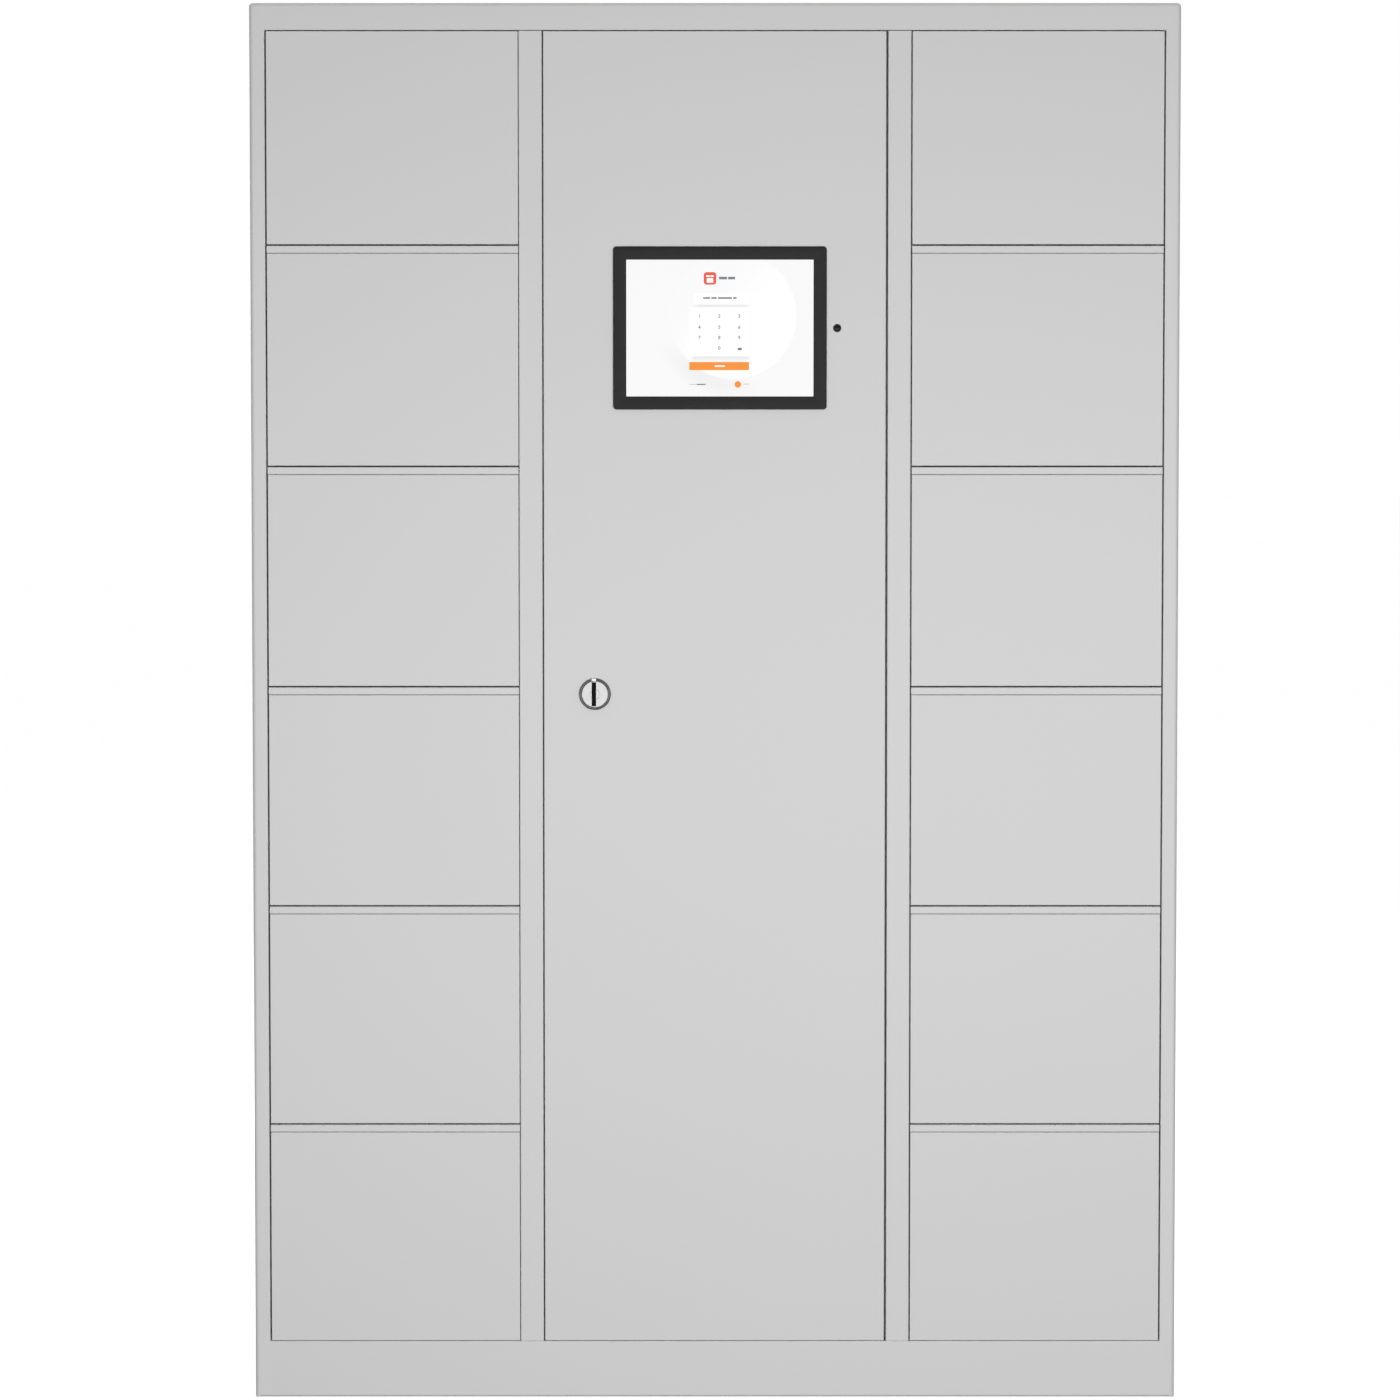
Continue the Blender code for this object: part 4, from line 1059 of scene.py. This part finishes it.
def looms():
    """The CAD looms, with a clip on the back panel and one on the partition at each side."""
    clips = Builder()
    level = middle_of("controller_box").z
    for name, side in SIDES.items():
        loom = "wiring_loom_" + name
        coat([loom], JACKET)
        low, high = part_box(loom)
        back, beside = high.y - LOOM_RADIUS, max(-low.x, high.x) - LOOM_RADIUS
        spot, reach = (side * 0.13, back, level), BACK_INSIDE - back
        clip(clips, spot, (1, 0, 0), (0, 1, 0), reach, LOOM_RADIUS)
        partition = max(abs(corner.x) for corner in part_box("partition_" + name)) - SHEET
        spot, reach = (side * beside, 0, level - 0.034), partition - beside
        clip(clips, spot, (0, side, 0), (side, 0, 0), reach, LOOM_RADIUS)
    clips.make("loom_clips", [BLACK, SCREW], "root", "black_plastic")


CONNECTORS, CONNECTOR_INSET, CONNECTOR_PITCH = 8, 0.022, 0.0195


def controller():
    """A ribbed case over a row of screw connectors, with three lamps."""
    low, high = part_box("controller_box")
    case, ribs, margin, half = Builder(), 13, 0.025, 0.0016
    case.block((low.x, low.y + 0.006, low.z), high, 0.003, 3)
    pitch = (high.x - low.x - 2 * margin) / ribs
    for i in range(ribs):
        x = low.x + margin + pitch * (i + 0.5)
        rib_high = (x + half, low.y + 0.008, high.z - 0.03)
        case.block((x - half, low.y, low.z + 0.05), rib_high, 0.0007)
    case.make("controller_case", [CASE], "root", "dark_case", "controller_box")

    fittings, face, level = Builder(), low.y + 0.002, low.z + 0.023
    for i in range(CONNECTORS):
        x = low.x + CONNECTOR_INSET + i * CONNECTOR_PITCH
        fittings.upright(x, level, 0.008, 0.011, face, low.y + 0.012, 0.0008, paint=1)
        for dx in (-0.004, 0.004):
            fittings.screw_head((x + dx, face, level), (0, -1, 0), 0.0022)
    lamp = [(0.0018, -0.0004), (0.0018, 0.0006), (0.0013, 0.0014), (0, 0.0017)]
    for i, paint in enumerate((2, 3, 3)):
        spot = (high.x - 0.02 - i * 0.009, low.y + 0.006, high.z - 0.014)
        fittings.lathe(lamp, spot, segments=20, paint=paint)
    lamp_green = lit("lamp_green", (0.05, 0.75, 0.18), 1.2)
    lamp_amber = lit("lamp_amber", (0.85, 0.35, 0.03), 1)
    paints = [SCREW, GREEN, lamp_green, lamp_amber]
    fittings.make("controller_fittings", paints, "root", "zinc_steel")


TERMINALS, TERMINAL_INSET, TERMINAL_PITCH = 7, 0.016, 0.013
VENT_RADIUS, VENT_DEPTH = 0.0032, 0.006


def power_supply():
    """A folded steel case with rows of round blind vents, painted black inside as shade, and a
    screw terminal block.
    """
    low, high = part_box("power_supply")
    top, ledge = high.y - 0.02, low.z + 0.022
    case = Builder().block((low.x, low.y, ledge), high, 0.0012, 3)
    case.block((low.x, top, low.z), (high.x, high.y, ledge + 0.0005), 0.001)
    holes = Builder()
    for row in range(9):
        for column in range(8):
            x = low.x + 0.02 + column * 0.01 + row % 2 * 0.005
            z = low.z + 0.06 + row * 0.012
            holes.rod((x, low.y - 0.001, z), (x, low.y + VENT_DEPTH, z), VENT_RADIUS, 16)
    bmesh.ops.recalc_face_normals(case.bm, faces=case.bm.faces)
    mesh = pressed(carve(draft(case.bm), holes))
    # Painted shade: the walls and floor of each blind vent take the black material, for the dark
    # inside a real case.
    for polygon in mesh.polygons:
        vent_painted_shade = low.y + 0.001 < polygon.center.y < low.y + VENT_DEPTH + 0.001
        polygon.material_index = int(vent_painted_shade)
    show("power_supply_case", mesh, [SUPPLY_CASE, BLACK], "root", "power_supply")

    block, face = Builder(), top - 0.012
    block.block((low.x + 0.008, face, low.z + 0.003), (high.x - 0.008, top, low.z + 0.02), 0.0008)
    for i in range(TERMINALS):
        x = low.x + TERMINAL_INSET + i * TERMINAL_PITCH
        block.screw_head((x, face, low.z + 0.0115), (0, -1, 0), 0.0036, paint=1)
    block.make("power_supply_terminals", [BLACK, SCREW], "root", "black_plastic")


def power_inlet():
    """A mains inlet with three pins in its socket."""
    coat(["power_inlet"], BLACK)
    middle, back = middle_of("power_inlet"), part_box("power_inlet")[1].y
    pins = Builder()
    for dx, dz in ((-0.007, -0.002), (0, 0.003), (0.007, -0.002)):
        start, end = back - 0.0138, back - 0.003
        pins.upright(middle.x + dx, middle.z + dz, 0.001, 0.002, start, end, 0.0003)
    pins.make("power_inlet_pins", [SCREW], "root", "zinc_steel")


def cores(cables, start, y, ends, heights):
    """Thin wires that fan out of a cable's end, at x = start. ends holds (x, paint)."""
    for x, paint in ends:
        across = (start, (start + x) / 2, x, x)
        cables.tube([(place, y, z) for place, z in zip(across, heights)], CORE_RADIUS, paint)


def leads():
    """The mains lead from the inlet to the supply, and the supply's lead to the controller."""
    flat = BACK_INSIDE - LEAD_RADIUS - 0.0008
    inlet = middle_of("power_inlet")
    inlet.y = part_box("power_inlet")[0].y
    supply, supply_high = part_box("power_supply")
    terminals = [supply.x + TERMINAL_INSET + i * TERMINAL_PITCH for i in range(TERMINALS)]
    terminal_y, split = supply_high.y - 0.026, supply.z - 0.045
    controller_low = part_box("controller_box")[0]
    bottom, socket_y = controller_low.z, controller_low.y + 0.007
    sockets = [controller_low.x + CONNECTOR_INSET + i * CONNECTOR_PITCH for i in (6, 7)]
    start_x, end_x = (terminals[5] + terminals[6]) / 2, sum(sockets) / 2
    riser = supply_high.x + 0.035
    loop = ((-0.012, 0), (-0.028, 0.002), (-0.046, 0.018), (-0.044, 0.048), (-0.018, 0.1))
    mains = [inlet + Vector((0, out, up)) for out, up in loop]
    mains += [
        (inlet.x, flat, inlet.z + 0.15),
        (inlet.x - 0.006, flat, inlet.z + 0.205),
        (inlet.x - 0.04, flat, inlet.z + 0.26),
        (terminals[1] + 0.02, flat - 0.006, split - 0.03),
        (terminals[1], terminal_y, split),
    ]
    to_controller = [
        (start_x, terminal_y, split),
        (start_x + 0.01, terminal_y, split - 0.03),
        (start_x + 0.033, terminal_y + 0.004, split - 0.044),
        (riser - 0.004, terminal_y + 0.012, split - 0.022),
        (riser, flat, split + 0.04),
        (riser, flat, supply_high.z),
        (riser, flat, bottom - 0.16),
        (riser - 0.015, flat - 0.008, bottom - 0.105),
        (riser - 0.055, flat - 0.026, bottom - 0.07),
        (end_x + 0.008, socket_y + 0.001, bottom - 0.045),
        (end_x, socket_y, bottom - 0.022),
    ]
    cables = Builder().tube(mains, LEAD_RADIUS).tube(to_controller, LEAD_RADIUS)
    boot = (inlet + Vector((0, 0.0005, 0)), inlet + Vector((0, -0.018, 0)))
    cables.rod(*boot, 0.0085, 24, 0.0042)
    into_supply = (supply.z - 0.012, supply.z + 0.004)
    live, neutral, earth = zip(terminals, (1, 2, 3))
    heights = (split - 0.004, split + 0.016, *into_supply)
    cores(cables, terminals[1], terminal_y, (live, neutral, earth), heights)
    plus, minus = (terminals[5], 4), (terminals[6], 0)
    heights = (split - 0.004, split + 0.012, *into_supply)
    cores(cables, start_x, terminal_y, (plus, minus), heights)
    heights = (bottom - 0.026, bottom - 0.012, bottom + 0.002, bottom + 0.014)
    cores(cables, end_x, socket_y, zip(sockets, (4, 0)), heights)
    cables.make("supply_leads", [SHEATH, BROWN, BLUE, EARTH, RED], "root", "cable_jacket")

    clips = Builder()
    held = [(inlet.x, inlet.z + 0.165)]
    held += [(riser, supply_high.z - 0.05), (riser, supply_high.z + 0.12)]
    for x, z in held:
        clip(clips, (x, flat, z), (0, 0, 1), (0, 1, 0), BACK_INSIDE - flat)
    clips.make("lead_clips", [BLACK, SCREW], "root", "black_plastic")


# ---- Back ----
def back_details():
    """Screws all round the back panel."""
    across, up = (-0.57, -0.285, 0, 0.285, 0.57), (0.4, 0.75, 1.1, 1.45)
    places = [(x, z) for x in across for z in (0.045, HEIGHT - 0.03)]
    places += [(x, z) for z in up for x in (across[0], across[-1])]
    screws = Builder()
    for x, z in places:
        screws.screw_head((x, BACK_FACE, z), (0, 1, 0), 0.0036)
    screws.make("back_screws", [SCREW], "root", "zinc_steel")


# ---- Stage, lights and camera ----
WHITE = (1, 1, 1, 1)


def stage():
    bm = bmesh.new()
    bmesh.ops.create_grid(bm, x_segments=1, y_segments=1, size=30)
    floor = draft(bm, "floor")
    shader = Shader("floor_paint", (0.62, 0.62, 0.62), 0.75)
    shader.link(shader.spread(shader.noise(4), 0.72, 0.8), "Roughness")
    shader.set("Emission Color", WHITE)
    shader.set("Emission Strength", 0.72)
    floor.data.materials.append(shader.material)
    floor.location.z = -0.0005
    floor.visible_diffuse = floor.visible_glossy = False


def area_light(name, place, aim, size, power):
    light = bpy.data.lights.new(name, "AREA")
    light.shape = "RECTANGLE"
    light.size, light.size_y = size
    light.energy = power
    obj = add_object(name, light)
    obj.location = place
    obj.rotation_euler = (Vector(aim) - Vector(place)).to_track_quat("-Z", "Y").to_euler()
    obj.visible_camera = False


def world():
    """Soft light that is weaker from below, before a backdrop that the camera sees as white."""
    made = bpy.data.worlds.new("studio")
    made.use_nodes = True
    bpy.context.scene.world = made
    tree = made.node_tree
    place = add_node(tree, "TexCoord", {}).outputs["Generated"]
    height = add_node(tree, "SeparateXYZ", {"Vector": place}).outputs["Z"]
    rise = {"Value": height, "From Min": -0.3, "From Max": 0.2, "To Min": 0.14, "To Max": 0.42}
    strength = add_node(tree, "MapRange", rise, interpolation_type="SMOOTHSTEP").outputs["Result"]
    ambient = add_node(tree, "Background", {"Color": WHITE, "Strength": strength})
    backdrop = add_node(tree, "Background", {"Color": WHITE, "Strength": 1})
    seen = add_node(tree, "LightPath", {}).outputs["Is Camera Ray"]
    ends = {0: seen, 1: ambient.outputs["Background"], 2: backdrop.outputs["Background"]}
    mix = add_node(tree, "MixShader", ends)
    tree.links.new(mix.outputs["Shader"], tree.nodes["World Output"].inputs["Surface"])


def lights():
    world()
    area_light("front_softbox", (0.26, -3.6, 0.76), (0.05, 0, 0.78), (3.4, 1.4), 95)
    area_light("top_softbox", (0, 1.6, 4.2), (0, 0.4, 1), (3, 2), 30)
    area_light("rear_softbox", (-1.5, 4.6, 1.5), (0, 0.25, 0.9), (3, 2), 60)


def camera():
    distance, height, aside, pitch = 8.129, 1.484, -0.0193, 4.062
    data = bpy.data.cameras.new("camera")
    data.sensor_width = 36
    data.lens = 162.69
    data.clip_end = 100
    obj = add_object("camera", data)
    obj.location = (aside, FRONT - distance, height)
    obj.rotation_euler = (radians(90 - pitch), 0, 0)
    bpy.context.scene.camera = obj


bpy.context.scene.view_settings.view_transform = "Standard"
casing()
sheet_metal()
hinge_rods()
small_doors()
service_door()
tablet()
camera_module()
key_lock()
bolts()
lock_rails()
looms()
controller()
power_supply()
power_inlet()
leads()
back_details()
stage()
lights()
camera()
